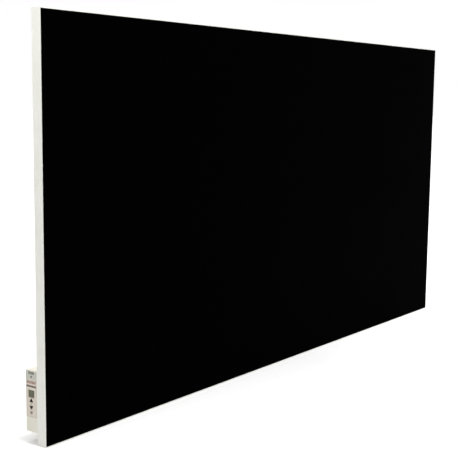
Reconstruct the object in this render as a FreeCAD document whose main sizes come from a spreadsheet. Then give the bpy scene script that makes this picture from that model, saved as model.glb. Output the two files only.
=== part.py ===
import FreeCAD, Part
import math
import os
import Sketcher

# Ceramic panel heater: a black ceramic plate in a shallow white frame, with a control box behind
# its lower left corner and four keyhole hangers. X runs along the width, Z up, and the plate faces -Y.
# The origin is on the wall's face, midway between the four keyholes, where the heater hangs.

DOC = FreeCAD.newDocument("ceramic_panel_heater")
SHEET = DOC.addObject("Spreadsheet::Sheet", "dims")

SIZES = {
    # Whole panel
    "panel_width": 1200.0,
    "panel_height": 600.0,
    "casing_depth": 17.0,
    "wall_gap": 23.0,
    "cut_overrun": 4.0,
    # Ceramic plate
    "plate_thickness": 8.5,
    "plate_corner": 1.0,
    "plate_arris": 0.6,
    # Frame rails
    "rail_wall": 1.0,
    "rim_setback": 0.3,
    "ledge_reach": 9.0,
    "flange_reach": 14.0,
    "mitre_gap": 0.1,
    "rail_edge_radius": 0.3,
    # Silicone seal round the plate
    "seal_gap": 0.4,
    "seal_bed": 0.4,
    "seal_setback": 0.8,
    # Corner keys inside the rails
    "key_clearance": 0.2,
    "key_leg": 36.0,
    "key_width": 7.4,
    # Heating element on the back of the plate
    "carrier_thickness": 0.6,
    "track_thickness": 0.3,
    "track_width": 12.0,
    "track_pairs": 6,
    "run_bottom": 47.0,
    "run_margin": 58.0,
    "lane_inset": 28.0,
    "element_gap": 0.1,
    # Leads from the element to the control box
    "lead_diameter": 2.4,
    "lead_spacing": 16.0,
    "lead_setback": 13.5,
    "lead_bend": 5.0,
    "lead_pad": 7.0,
    # Foil and insulation behind the element
    "foil_thickness": 0.3,
    "backing_clearance": 1.0,
    "insulation_gap": 0.3,
    "window_lead_margin": 18.5,
    "window_side_margin": 14.0,
    "window_low_margin": 10.5,
    "window_high_margin": 6.0,
    # Rear cover with its swages
    "cover_sheet": 0.8,
    "cover_clearance": 0.3,
    "swage_margin": 150.0,
    "swage_width": 20.0,
    "swage_height": 1.5,
    "swage_angle": 40.0,
    "swage_count": 3,
    # Rear cover screws
    "screw_inset": 8.0,
    "screw_margin": 60.0,
    "screws_along": 3,
    "screw_radius": 1.45,
    "screw_head_radius": 3.2,
    "screw_head_height": 1.4,
    "screw_tip_gap": 2.1,
    "thread_clearance": 0.05,
    # Hangers welded to the rear cover
    "hanger_clearance": 8.0,
    "hanger_inset": 120.0,
    "hanger_sheet": 1.5,
    "hanger_crown": 30.0,
    "hanger_flange": 17.0,
    "hanger_height": 60.0,
    "hanger_bend": 2.0,
    "keyhole_radius": 5.0,
    "keyslot_radius": 2.7,
    "keyslot_rise": 12.0,
    # Control box
    "box_width": 130.0,
    "box_height": 88.5,
    "box_bottom": 17.5,
    "box_wall": 2.0,
    "box_radius": 0.8,
    "base_thickness": 2.0,
    "base_clearance": 0.2,
    "boss_inset_left": 16.0,
    "boss_inset_right": 8.0,
    "boss_inset_up": 8.0,
    "boss_radius": 3.5,
    "boss_gap": 0.2,
    "sleeve_radius": 4.4,
    "sleeve_length": 3.0,
    "sink_radius": 3.0,
    "sink_floor": 1.2,
    "sink_gap": 0.3,
    "housing_screw_length": 9.0,
    "vent_count": 6,
    "vent_step": 8.0,
    "vent_slot_width": 2.0,
    "vent_inset": 44.0,
    "vent_edge": 6.0,
    # Label plate on the box's left face
    "fascia_thickness": 0.4,
    "fascia_height": 66.9,
    "fascia_margin": 0.6,
    "fascia_radius": 2.0,
    "fascia_clearance": 0.1,
    # What the label plate shows, measured from the box's rear face and down from its top
    "key_row_inset": 11.2,
    "display_drop": 3.7,
    "display_width": 11.6,
    "display_height": 4.0,
    "lamp_drop": 9.2,
    "lamp_radius": 1.5,
    "grille_drop": 33.7,
    "grille_cell_width": 2.25,
    "grille_cell_height": 2.0,
    "grille_bar": 0.4,
    "grille_border": 0.9,
    "grille_columns": 4,
    "grille_rows": 4,
    "grille_depth": 0.8,
    "grille_tab": 0.8,
    "grille_tab_thickness": 0.6,
    "gauze_thickness": 0.4,
    "gauze_lap": 0.3,
    "aperture_clearance": 0.2,
    # Keys
    "up_drop": 42.9,
    "down_drop": 53.5,
    "set_drop": 60.7,
    "key_span": 6.2,
    "key_rise": 4.8,
    "set_radius": 1.9,
    "key_proud": 0.8,
    "key_rim": 0.8,
    "collar_thickness": 0.8,
    "collar_clearance": 0.1,
    "stem_radius": 1.4,
    "key_travel": 0.5,
    "travel_clearance": 0.1,
    # Control board behind the keys
    "control_board_thickness": 1.6,
    "control_board_margin": 0.8,
    "control_board_gap": 0.6,
    "switch_size": 6.0,
    "switch_height": 2.4,
    "plunger_size": 3.0,
    "plunger_height": 0.9,
    "display_module_depth": 3.0,
    "display_module_margin": 0.2,
    "display_module_gap": 0.2,
    "sensor_bead_size": 2.6,
    "sensor_bead_length": 3.6,
    "rib_thickness": 1.2,
    "rib_height": 3.0,
    "rib_gap": 0.2,
    # Power board and what it carries
    "power_board_thickness": 1.6,
    "power_board_gap": 12.0,
    "power_board_width": 44.0,
    "power_board_margin": 8.5,
    "standoff_height": 3.0,
    "clip_width": 8.0,
    "clip_thickness": 1.6,
    "clip_step": 1.0,
    "clip_hook": 0.8,
    "clip_gap": 0.1,
    "clip_inset": 10.0,
    "block_inset": 1.0,
    "block_width": 9.0,
    "block_height": 10.0,
    "block_margin": 6.0,
    "relay_width": 18.0,
    "relay_length": 14.0,
    "relay_height": 11.5,
    "relay_headroom": 2.4,
    "module_width": 20.0,
    "module_length": 15.0,
    "module_height": 11.0,
    "capacitor_width": 13.0,
    "capacitor_length": 6.0,
    "capacitor_height": 9.0,
    "part_spacing": 3.0,
    # Fixings of the base
    "stud_inset_left": 26.0,
    "stud_inset_right": 8.0,
    "stud_inset_low": 14.5,
    "stud_inset_high": 16.0,
    "stud_radius": 2.0,
    "stud_length": 6.5,
    "stud_clearance": 0.2,
    "stud_nut_flats": 7.0,
    "stud_nut_height": 3.2,
    # Grommet in the rear cover
    "grommet_gap": 0.4,
    "grommet_wall": 1.4,
    "grommet_lip": 1.0,
    "grommet_lip_thickness": 0.8,
    "grommet_fit": 0.05,
    "grommet_clearance": 0.4,
    # Cut-out and plate sensor
    "cutout_length": 20.0,
    "cutout_width": 7.7,
    "cutout_height": 3.7,
    "plate_sensor_length": 12.0,
    "plate_sensor_width": 5.0,
    "plate_sensor_height": 3.0,
    "plate_sensor_inset": 8.0,
    "protector_spacing": 26.0,
    "adhesive_film": 0.1,
    # Cord gland in the box's right wall
    "gland_bore": 3.4,
    "gland_barrel": 5.2,
    "gland_clearance": 0.1,
    "gland_rise": 14.5,
    "gland_flats": 15.0,
    "gland_collar": 4.5,
    "gland_dome_radius": 6.6,
    "gland_dome_length": 7.0,
    "gland_nose": 1.6,
    "gland_inner_length": 6.0,
    "gland_nut_flats": 14.0,
    "gland_nut_height": 3.5,
}


def fill_sheet():
    """write each size as a plain number with its alias"""
    for row, (alias, value) in enumerate(SIZES.items(), start=1):
        SHEET.set(f"A{row}", alias.replace("_", " "))
        SHEET.set(f"B{row}", str(value))
        SHEET.setAlias(f"B{row}", alias)
    DOC.recompute()


fill_sheet()

# Planes and levels, as expressions over the sheet
LEFT = "(-dims.panel_width / 2)"
RIGHT = "(dims.panel_width / 2)"
BOTTOM = "(-dims.panel_height / 2)"
TOP = "(dims.panel_height / 2)"
WALL = "(0)"
FRONT = "(-dims.casing_depth - dims.wall_gap)"


def after(plane, *steps):
    """place that lies the given steps beyond a plane"""
    return "(" + " + ".join((plane,) + steps) + ")"


def before(plane, *steps):
    """place that lies the given steps short of a plane"""
    return "(" + " - ".join((plane,) + steps) + ")"


PLATE_REAR = after(FRONT, "dims.plate_thickness")
BED_REAR = after(PLATE_REAR, "dims.seal_bed")
LEDGE_REAR = after(BED_REAR, "dims.rail_wall")
CASING_REAR = after(FRONT, "dims.casing_depth")
COVER_FRONT = before(CASING_REAR, "dims.cover_sheet")
FLANGE_FRONT = before(COVER_FRONT, "dims.rail_wall")
CARRIER_REAR = after(PLATE_REAR, "dims.carrier_thickness")
TRACK_REAR = after(CARRIER_REAR, "dims.track_thickness")
FOIL_FRONT = after(TRACK_REAR, "dims.element_gap")
FOIL_REAR = after(FOIL_FRONT, "dims.foil_thickness")
INSULATION_REAR = before(COVER_FRONT, "dims.insulation_gap")
PLATE_INSET = "(dims.rail_wall + dims.seal_gap)"
BACKING_INSET = "(dims.flange_reach + dims.backing_clearance)"
COVER_INSET = "(dims.rail_wall + dims.cover_clearance)"
HANGER_REAR = after(CASING_REAR, "dims.hanger_sheet")
HANGER_REACH = "(dims.hanger_crown / 2 + dims.hanger_flange)"
HANGER_X = before(RIGHT, "dims.box_width", "dims.hanger_clearance", HANGER_REACH)
HANGER_Z = before(TOP, "dims.hanger_inset")

# The control box, its walls and what hangs on them
BOX_RIGHT = after(LEFT, "dims.box_width")
BOX_BOTTOM = after(BOTTOM, "dims.box_bottom")
BOX_TOP = after(BOX_BOTTOM, "dims.box_height")
BASE_REAR = after(CASING_REAR, "dims.base_thickness")
POWER_BOARD_FRONT = after(BASE_REAR, "dims.standoff_height")
POWER_BOARD_REAR = after(POWER_BOARD_FRONT, "dims.power_board_thickness")
INNER_REAR = after(POWER_BOARD_REAR, "dims.relay_height", "dims.relay_headroom")
BOX_REAR = after(INNER_REAR, "dims.box_wall")
INNER_LEFT = after(LEFT, "dims.box_wall")
INNER_RIGHT = before(BOX_RIGHT, "dims.box_wall")
INNER_BOTTOM = after(BOX_BOTTOM, "dims.box_wall")
INNER_TOP = before(BOX_TOP, "dims.box_wall")
FASCIA_REAR = after(LEFT, "dims.fascia_thickness")
GRILLE_REAR = after(FASCIA_REAR, "dims.grille_depth")
FASCIA_TOP = before(BOX_TOP, "dims.fascia_margin")
FASCIA_BOTTOM = before(FASCIA_TOP, "dims.fascia_height")
KEY_ROW = before(BOX_REAR, "dims.key_row_inset")
GLAND_ROW = f"(({CASING_REAR} + {BOX_REAR}) / 2)"
GLAND_LEVEL = after(BOX_BOTTOM, "dims.boss_inset_up", "dims.gland_rise")

# Boards, from the keys inwards and from the base outwards
COLLAR_FRONT = after(INNER_LEFT, "dims.collar_clearance")
COLLAR_REAR = after(COLLAR_FRONT, "dims.collar_thickness")
SWITCH_TIP = after(COLLAR_REAR, "dims.collar_clearance", "2 * dims.key_travel", "dims.travel_clearance")
SWITCH_FRONT = after(SWITCH_TIP, "dims.plunger_height")
CONTROL_BOARD_LEFT = after(SWITCH_FRONT, "dims.switch_height")
CONTROL_BOARD_RIGHT = after(CONTROL_BOARD_LEFT, "dims.control_board_thickness")
POWER_BOARD_RIGHT = before(INNER_RIGHT, "dims.power_board_gap")
POWER_BOARD_LEFT = before(POWER_BOARD_RIGHT, "dims.power_board_width")
POWER_BOARD_BOTTOM = after(BOX_BOTTOM, "dims.power_board_margin")
POWER_BOARD_TOP = before(BOX_TOP, "dims.power_board_margin")
BLOCK_LEFT = after(POWER_BOARD_LEFT, "dims.block_inset")

# Heating element and its leads
RUN_BOTTOM = after(BOTTOM, "dims.run_bottom")
RUN_STEP = "((dims.panel_height - 2 * dims.run_bottom) / (2 * dims.track_pairs - 1))"
LEAD_HIGH = after(RUN_BOTTOM, "dims.lead_spacing")
LEAD_X = before(POWER_BOARD_LEFT, "dims.lead_setback")

# Service window in the foil and the insulation
WINDOW_LEFT = before(LEAD_X, "dims.window_lead_margin")
WINDOW_RIGHT = before(BOX_RIGHT, "dims.window_side_margin")
WINDOW_BOTTOM = after(BOX_BOTTOM, "dims.window_low_margin")
WINDOW_TOP = before(BOX_TOP, "dims.window_high_margin")

PIECES = []

# How closely a measured place or direction has to agree
PLACE_TOLERANCE = 1e-4
PARALLEL_SHARE = 0.999

# Degrees in a full turn, and flats of a lead's section
FULL_TURN = 360
LEAD_SIDES = 6


def number(expression):
    """present value of an expression over the sheet"""
    return float(SHEET.evalExpression(expression))


def count(alias):
    """whole number held in the sheet"""
    return int(SHEET.get(alias))


def level_of(name):
    """level of something on the label plate, measured down from the box's top"""
    return before(BOX_TOP, f"dims.{name}_drop")


def new_body(label):
    """empty body that becomes the piece of that name"""
    body = DOC.addObject("PartDesign::Body", label)
    body.Label = label
    PIECES.append(body)
    return body


def new_sketch(body, plane, place, name):
    """empty sketch on one of the body's own planes, moved to a place along its axis"""
    sketch = body.newObject("Sketcher::SketchObject", name)
    origin = next(item for item in body.Origin.OriginFeatures if item.Role == f"{plane}_Plane")
    sketch.AttachmentSupport = (origin, [""])
    sketch.MapMode = "FlatFace"
    sign = "-" if plane == "XZ" else ""
    sketch.setExpression(".AttachmentOffset.Base.z", f"{sign}{place}")
    return sketch


def bind(sketch, kind, where, expression):
    """dimension whose value follows an expression"""
    index = sketch.addConstraint(Sketcher.Constraint(kind, *where, number(expression)))
    sketch.setExpression(f"Constraints[{index}]", expression)


def pin_point(sketch, geometry, point, across, up):
    """hold a point of the sketch at two expressions"""
    bind(sketch, "DistanceX", (-1, 1, geometry, point), across)
    bind(sketch, "DistanceY", (-1, 1, geometry, point), up)


def outline(sketch, *corners):
    """closed outline of straight lines through its corners"""
    points = [FreeCAD.Vector(number(across), number(up), 0) for across, up in corners]
    lines = []
    for start, end in zip(points, points[1:] + points[:1]):
        lines.append(sketch.addGeometry(Part.LineSegment(start, end), False))
    for line, following in zip(lines, lines[1:] + lines[:1]):
        sketch.addConstraint(Sketcher.Constraint("Coincident", line, 2, following, 1))
    for line, (across, up) in zip(lines, corners):
        pin_point(sketch, line, 1, across, up)


def rectangle(sketch, left, right, low, high):
    """rectangle between two places across and two up"""
    outline(sketch, (left, low), (right, low), (right, high), (left, high))


def circle(sketch, across, up, radius):
    """full circle"""
    centre = FreeCAD.Vector(number(across), number(up), 0)
    shape = Part.Circle(centre, FreeCAD.Vector(0, 0, 1), number(radius))
    geometry = sketch.addGeometry(shape, False)
    bind(sketch, "Radius", (geometry,), radius)
    pin_point(sketch, geometry, 3, across, up)


def polygon(sketch, across, up, half_flats, sides, rise="0"):
    """regular polygon whose flats touch a circle, or two halves of one with a straight stretch between"""
    reach = f"({half_flats}) / cos({FULL_TURN / sides / 2} deg)"
    corners = []
    for step in range(sides):
        turn = (step + 1 / 2) * FULL_TURN / sides
        lift = rise if turn < FULL_TURN / 2 else "0"
        place = f"{across} + {reach} * cos({turn} deg)"
        height = f"{up} + {lift} + {reach} * sin({turn} deg)"
        corners.append((place, height))
    outline(sketch, *corners)


def hexagon(sketch, across, up, flats):
    """hexagon over its flats"""
    polygon(sketch, across, up, f"{flats} / 2", 6)


def octagon(sketch, across, up, half_flats, rise="0"):
    """eight-sided outline of a round that other pieces hide"""
    polygon(sketch, across, up, half_flats, 8, rise)


def slot(sketch, first, last, radius):
    """round-ended slot between two centres that lie level or upright"""
    start, finish = [FreeCAD.Vector(number(across), number(up), 0) for across, up in (first, last)]
    along = (finish - start).normalize()
    side = FreeCAD.Vector(-along.y, along.x, 0)
    turn = math.atan2(side.y, side.x)
    arcs = []
    for centre, begin in ((start, turn), (finish, turn + math.pi)):
        ring = Part.Circle(centre, FreeCAD.Vector(0, 0, 1), number(radius))
        arcs.append(sketch.addGeometry(Part.ArcOfCircle(ring, begin, begin + math.pi), False))
    lines = []
    for way in (1, -1):
        offset = side * (way * number(radius))
        lines.append(sketch.addGeometry(Part.LineSegment(start + offset, finish + offset), False))
    square = "Vertical" if abs(along.y) < abs(along.x) else "Horizontal"
    for arc, point, side_line, end in ((0, 1, 0, 1), (0, 2, 1, 1), (1, 2, 0, 2), (1, 1, 1, 2)):
        meeting = (arcs[arc], point, lines[side_line], end)
        sketch.addConstraint(Sketcher.Constraint("Coincident", *meeting))
        sketch.addConstraint(Sketcher.Constraint(square, arcs[arc], 3, lines[side_line], end))
    for arc, (across, up) in zip(arcs, (first, last)):
        bind(sketch, "Radius", (arc,), radius)
        pin_point(sketch, arc, 3, across, up)


def extrude(body, kind, name, plane, low, high, *shapes, narrowing="0"):
    """pad or pocket of one sketch between two places along its axis"""
    sketch = new_sketch(body, plane, low, f"{name}_sketch")
    for draw, *values in shapes:
        draw(sketch, *values)
    solid_before = body.Tip.Shape.Volume if body.Tip else 0
    feature = body.newObject(f"PartDesign::{kind}", name)
    feature.Profile = sketch
    feature.Reversed = (plane == "XZ") == (kind == "Pad")
    feature.setExpression("Length", f"{high} - {low}")
    feature.setExpression("TaperAngle", f"-{narrowing}")
    DOC.recompute()
    change = feature.Shape.Volume - solid_before
    if (change > 0) != (kind == "Pad"):
        raise RuntimeError(f"{name} of {body.Label} changed the volume by {change}")
    return feature


def pad(body, name, plane, low, high, *shapes, **options):
    """material between two places"""
    return extrude(body, "Pad", name, plane, low, high, *shapes, **options)


def pocket(body, name, plane, low, high, *shapes, **options):
    """cut between two places"""
    return extrude(body, "Pocket", name, plane, low, high, *shapes, **options)


def through(body, name, plane, low, high, *shapes):
    """cut that runs past both of its faces"""
    low_end = before(low, "dims.cut_overrun")
    high_end = after(high, "dims.cut_overrun")
    return pocket(body, name, plane, low_end, high_end, *shapes)


def straight_edges(shape, axis, chosen):
    """names of the edges along an axis whose middle point is chosen"""
    names = []
    for index, edge in enumerate(shape.Edges, start=1):
        if edge.Curve.TypeId != "Part::GeomLine":
            continue
        if abs(edge.Curve.Direction.dot(axis)) > PARALLEL_SHARE and chosen(edge.CenterOfMass):
            names.append(f"Edge{index}")
    return names


def dress(body, kind, name, size_name, edges, size):
    """fillet or chamfer on named edges of the body's last feature"""
    base = body.Tip
    feature = body.newObject(f"PartDesign::{kind}", name)
    feature.Base = (base, edges)
    feature.setExpression(size_name, size)
    DOC.recompute()
    return feature


def fillet(body, name, edges, radius):
    """rounded edges"""
    return dress(body, "Fillet", name, "Radius", edges, radius)


def near(value, expression):
    """true when a measured place is the one that the expression gives"""
    return abs(value - number(expression)) < PLACE_TOLERANCE


X_AXIS = FreeCAD.Vector(1, 0, 0)
Y_AXIS = FreeCAD.Vector(0, 1, 0)
Z_AXIS = FreeCAD.Vector(0, 0, 1)


def block(label, left, right, front, rear, low, high):
    """plain rectangular piece between six places"""
    piece = DOC.addObject("Part::Box", label)
    piece.Label = label
    piece.setExpression("Length", f"{right} - {left}")
    piece.setExpression("Width", f"{rear} - {front}")
    piece.setExpression("Height", f"{high} - {low}")
    piece.setExpression(".Placement.Base.x", left)
    piece.setExpression(".Placement.Base.y", front)
    piece.setExpression(".Placement.Base.z", low)
    PIECES.append(piece)
    return piece


def solid_piece(label, shape):
    """piece whose shape is worked out from the sheet's values"""
    piece = DOC.addObject("Part::Feature", label)
    piece.Label = label
    piece.Shape = shape
    piece.Placement = FreeCAD.Placement()
    PIECES.append(piece)
    return piece


def inset_rectangle(inset):
    """rectangle that follows the panel's outline at an inset"""
    return (rectangle, after(LEFT, inset), before(RIGHT, inset), after(BOTTOM, inset), before(TOP, inset))


# Ceramic plate


def make_plate():
    """ceramic plate with rounded corners and arrised front edges"""
    body = new_body("ceramic_plate")
    pad(body, "plate_slab", "XZ", FRONT, PLATE_REAR, inset_rectangle(PLATE_INSET))
    corners = straight_edges(body.Tip.Shape, Y_AXIS, lambda point: True)
    fillet(body, "plate_corners", corners, "dims.plate_corner")
    front_edges = []
    for index, edge in enumerate(body.Tip.Shape.Edges, start=1):
        if near(edge.CenterOfMass.y, FRONT):
            front_edges.append(f"Edge{index}")
    dress(body, "Chamfer", "plate_arris", "Size", front_edges, "dims.plate_arris")


def make_seal():
    """silicone bead round the plate's edge and under its rim"""
    body = new_body("plate_seal")
    wall = inset_rectangle("dims.rail_wall")
    bead_front = after(FRONT, "dims.seal_setback")
    pad(body, "edge_bead", "XZ", bead_front, PLATE_REAR, wall, inset_rectangle(PLATE_INSET))
    pad(body, "bed", "XZ", PLATE_REAR, BED_REAR, wall, inset_rectangle("dims.ledge_reach"))


# Frame rails


def rail_corners():
    """the rail's section as pairs of depth plane and inset"""
    rim = after(FRONT, "dims.rim_setback")
    return (
        (rim, "0"),
        (CASING_REAR, "0"),
        (CASING_REAR, "dims.rail_wall"),
        (COVER_FRONT, "dims.rail_wall"),
        (COVER_FRONT, "dims.flange_reach"),
        (FLANGE_FRONT, "dims.flange_reach"),
        (FLANGE_FRONT, "dims.rail_wall"),
        (LEDGE_REAR, "dims.rail_wall"),
        (LEDGE_REAR, "dims.ledge_reach"),
        (BED_REAR, "dims.ledge_reach"),
        (BED_REAR, "dims.rail_wall"),
        (rim, "dims.rail_wall"),
    )


def mitre(side_x, side_z, level):
    """triangle that takes a rail's end off along the corner's diagonal"""
    slip_x = "dims.mitre_gap / 2" if level else "0"
    slip_z = "0" if level else "dims.mitre_gap / 2"
    corner_x = f"{side_x} * (dims.panel_width / 2 - {slip_x})"
    corner_z = f"{side_z} * (dims.panel_height / 2 - {slip_z})"
    reach = "(dims.flange_reach + dims.cut_overrun)"
    outer = (f"{corner_x} + {side_x} * dims.cut_overrun", f"{corner_z} + {side_z} * dims.cut_overrun")
    inner = (f"{corner_x} - {side_x} * {reach}", f"{corner_z} - {side_z} * {reach}")
    third = (outer[0], inner[1]) if level else (inner[0], outer[1])
    return outline, outer, inner, third


def screw_places(name):
    """centres of the rear cover's screws along one rail"""
    levels = {"bottom": after(BOTTOM, "dims.screw_inset"), "top": before(TOP, "dims.screw_inset")}
    level = levels.get(name)
    along = count("screws_along") if level else 0
    places = []
    for step in range(along):
        across = f"(dims.panel_width / 2 - dims.screw_margin) * (2 * {step} / ({along} - 1) - 1)"
        places.append((across, level))
    return places


def all_screw_places():
    """centres of all the rear cover's screws"""
    return screw_places("bottom") + screw_places("top")


def make_rail(name, side):
    """one mitred rail with its plate ledge, its rear flange and the flange's screw holes"""
    body = new_body(f"frame_rail_{name}")
    level = name in ("top", "bottom")
    if level:
        edge = TOP if side > 0 else BOTTOM
        corners = [(depth, f"{edge} - {side} * {inset}") for depth, inset in rail_corners()]
        pad(body, f"{name}_section", "YZ", LEFT, RIGHT, (outline, *corners))
        ends = [mitre(way, side, True) for way in (-1, 1)]
    else:
        edge = RIGHT if side > 0 else LEFT
        corners = [(f"{edge} - {side} * {inset}", depth) for depth, inset in rail_corners()]
        pad(body, f"{name}_section", "XY", BOTTOM, TOP, (outline, *corners))
        ends = [mitre(side, way, False) for way in (-1, 1)]
    through(body, f"{name}_mitres", "XZ", FRONT, CASING_REAR, *ends)
    axis = X_AXIS if level else Z_AXIS

    def outer_edge(point):
        """the two long edges of the rail's outer face"""
        return near(point.z if level else point.x, edge)

    fillet(body, f"{name}_edges", straight_edges(body.Tip.Shape, axis, outer_edge), "dims.rail_edge_radius")
    hole = "dims.screw_radius + dims.thread_clearance"
    holes = [(octagon, across, up, hole) for across, up in screw_places(name)]
    if holes:
        through(body, f"{name}_holes", "XZ", FLANGE_FRONT, COVER_FRONT, *holes)


def make_corner_keys():
    """angle pieces that hold the rails together at the mitres"""
    body = new_body("corner_keys")
    start = "(dims.rail_wall + dims.key_clearance)"
    inner = f"({start} + dims.key_width)"
    far = f"({start} + dims.key_leg)"
    angles = []
    for side_x in (-1, 1):
        for side_z in (-1, 1):
            steps = ((start, start), (far, start), (far, inner), (inner, inner), (inner, far), (start, far))
            corners = []
            for across, up in steps:
                place_x = f"{side_x} * (dims.panel_width / 2 - {across})"
                place_z = f"{side_z} * (dims.panel_height / 2 - {up})"
                corners.append((place_x, place_z))
            angles.append((outline, *corners))
    front = after(LEDGE_REAR, "dims.key_clearance")
    rear = before(FLANGE_FRONT, "dims.key_clearance")
    pad(body, "key_angles", "XZ", front, rear, *angles)


# Heating element and leads


def track_line():
    """centre line of the element's track: to and fro over the plate, then down the left side"""
    reach = "(dims.panel_width / 2 - dims.run_margin)"
    points = [(before(LEAD_X, "dims.lead_pad"), RUN_BOTTOM)]
    rows = 2 * count("track_pairs")
    for row in range(rows):
        level = f"({RUN_BOTTOM} + {row} * {RUN_STEP})"
        starts, ends = (f"(-{reach})", reach) if row % 2 == 0 else (reach, f"(-{reach})")
        if row > 0:
            points.append((starts, level))
        if row < rows - 1:
            points.append((ends, level))
    lane = after(LEFT, "dims.lane_inset")
    points.append((lane, f"({RUN_BOTTOM} + {rows - 1} * {RUN_STEP})"))
    points.append((lane, LEAD_HIGH))
    points.append((after(LEAD_X, "dims.lead_pad"), LEAD_HIGH))
    return points


def ribbon(sketch, points, half_width):
    """outline of a strip with square turns along its centre line"""
    places = [FreeCAD.Vector(number(across), number(up), 0) for across, up in points]
    ways = [(end - start).normalize() for start, end in zip(places, places[1:])]
    sides = [FreeCAD.Vector(-way.y, way.x, 0) for way in ways]
    offsets = [sides[0]] + [first + last for first, last in zip(sides, sides[1:])] + [sides[-1]]
    banks = {1: [], -1: []}
    for (across, up), offset in zip(points, offsets):
        for bank, corners in banks.items():
            shift_x = f"({round(bank * offset.x)}) * {half_width}"
            shift_z = f"({round(bank * offset.y)}) * {half_width}"
            corners.append((f"{across} + {shift_x}", f"{up} + {shift_z}"))
    outline(sketch, *banks[1], *reversed(banks[-1]))


def make_element():
    """heating element: an insulating carrier bonded to the plate and the track on it"""
    carrier = new_body("element_carrier")
    pad(carrier, "carrier_sheet", "XZ", PLATE_REAR, CARRIER_REAR, inset_rectangle(BACKING_INSET))
    track = new_body("heating_track")
    shape = (ribbon, track_line(), "(dims.track_width / 2)")
    pad(track, "track_strip", "XZ", CARRIER_REAR, TRACK_REAR, shape)


def make_leads():
    """two insulated leads from the track's pads through the grommet to the terminal block"""
    radius = number("dims.lead_diameter / 2")
    bend = number("dims.lead_bend")
    shapes = []
    for level in (RUN_BOTTOM, LEAD_HIGH):
        start = FreeCAD.Vector(number(LEAD_X), number(TRACK_REAR), number(level))
        entry = number(after(POWER_BOARD_REAR, "dims.block_height / 2"))
        corner = FreeCAD.Vector(start.x, entry - bend, start.z)
        leave = FreeCAD.Vector(start.x + bend, entry, start.z)
        diagonal = (Y_AXIS - X_AXIS) * (bend / math.sqrt(2))
        middle = FreeCAD.Vector(leave.x, corner.y, start.z) + diagonal
        finish = FreeCAD.Vector(number(BLOCK_LEFT), entry, start.z)
        path = Part.Wire(
            [
                Part.LineSegment(start, corner).toShape(),
                Part.Arc(corner, middle, leave).toShape(),
                Part.LineSegment(leave, finish).toShape(),
            ]
        )
        ring = []
        for step in range(LEAD_SIDES + 1):
            angle = math.radians(FULL_TURN * step / LEAD_SIDES)
            ring.append(start + X_AXIS * (radius * math.cos(angle)) + Z_AXIS * (radius * math.sin(angle)))
        lead = path.makePipeShell([Part.makePolygon(ring)], True, False)
        shapes.append(Part.Solid(lead) if lead.ShapeType == "Shell" else lead)
    solid_piece("heater_leads", Part.makeCompound(shapes))


# Foil, insulation and what lies in the service window


def window_rectangle():
    """service window behind the control box"""
    return rectangle, WINDOW_LEFT, WINDOW_RIGHT, WINDOW_BOTTOM, WINDOW_TOP


def stud_places():
    """centres of the two studs that hold the box's base to the rear cover"""
    lower = (after(LEFT, "dims.stud_inset_left"), after(BOX_BOTTOM, "dims.stud_inset_low"))
    upper = (before(BOX_RIGHT, "dims.stud_inset_right"), before(BOX_TOP, "dims.stud_inset_high"))
    return lower, upper


def make_backing():
    """reflector foil and insulation board with the service window"""
    foil = new_body("reflector_foil")
    pad(foil, "foil_sheet", "XZ", FOIL_FRONT, FOIL_REAR, inset_rectangle(BACKING_INSET))
    through(foil, "foil_window", "XZ", FOIL_FRONT, FOIL_REAR, window_rectangle())
    board = new_body("insulation_board")
    pad(board, "board_slab", "XZ", FOIL_REAR, INSULATION_REAR, inset_rectangle(BACKING_INSET))
    through(board, "board_window", "XZ", FOIL_REAR, INSULATION_REAR, window_rectangle())


def make_protectors():
    """flat thermal cut-out and plate sensor, bonded to the element's carrier in the window"""
    film = after(CARRIER_REAR, "dims.adhesive_film")
    level = f"({RUN_BOTTOM} + {RUN_STEP} / 2)"
    sensor_middle = before(WINDOW_RIGHT, "dims.plate_sensor_inset")
    for label, prefix, middle in (
        ("thermal_cutout", "cutout", before(sensor_middle, "dims.protector_spacing")),
        ("plate_sensor", "plate_sensor", sensor_middle),
    ):
        half_length = f"dims.{prefix}_length / 2"
        half_width = f"dims.{prefix}_width / 2"
        rear = after(film, f"dims.{prefix}_height")
        sides = (before(middle, half_length), after(middle, half_length))
        block(label, *sides, film, rear, before(level, half_width), after(level, half_width))


# Rear cover and its fixings


def make_cover():
    """pressed rear cover with swages, screw holes and the lead hole"""
    body = new_body("rear_cover")
    pad(body, "cover_panel", "XZ", COVER_FRONT, CASING_REAR, inset_rectangle(COVER_INSET))
    swages = count("swage_count")
    outer = []
    inner = []
    reach = "(dims.panel_width / 2 - dims.swage_margin - dims.swage_width / 2)"
    for step in range(swages):
        level = f"(2 * ({step} + 1) / ({swages} + 1) - 1) * {HANGER_Z}"
        ends = ((f"-{reach}", level), (reach, level))
        outer.append((slot, *ends, "dims.swage_width / 2"))
        inner.append((slot, *ends, "dims.swage_width / 2 - dims.cover_sheet"))
    crest = after(CASING_REAR, "dims.swage_height")
    hollow = after(COVER_FRONT, "dims.swage_height")
    pad(body, "swage_crests", "XZ", CASING_REAR, crest, *outer, narrowing="dims.swage_angle")
    pocket(body, "swage_hollows", "XZ", COVER_FRONT, hollow, *inner, narrowing="dims.swage_angle")
    hole = "dims.screw_radius + dims.thread_clearance"
    holes = [(octagon, across, up, hole) for across, up in all_screw_places()]
    through(body, "cover_holes", "XZ", COVER_FRONT, CASING_REAR, *holes)
    lead_hole = f"{GROMMET_WAIST} + dims.grommet_fit"
    through(body, "lead_hole", "XZ", COVER_FRONT, CASING_REAR, leads_outline(lead_hole))


GROMMET_BORE = "(dims.lead_diameter / 2 + dims.grommet_gap)"
GROMMET_WAIST = f"({GROMMET_BORE} + dims.grommet_wall)"
GROMMET_LIP = f"({GROMMET_WAIST} + dims.grommet_lip)"


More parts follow.
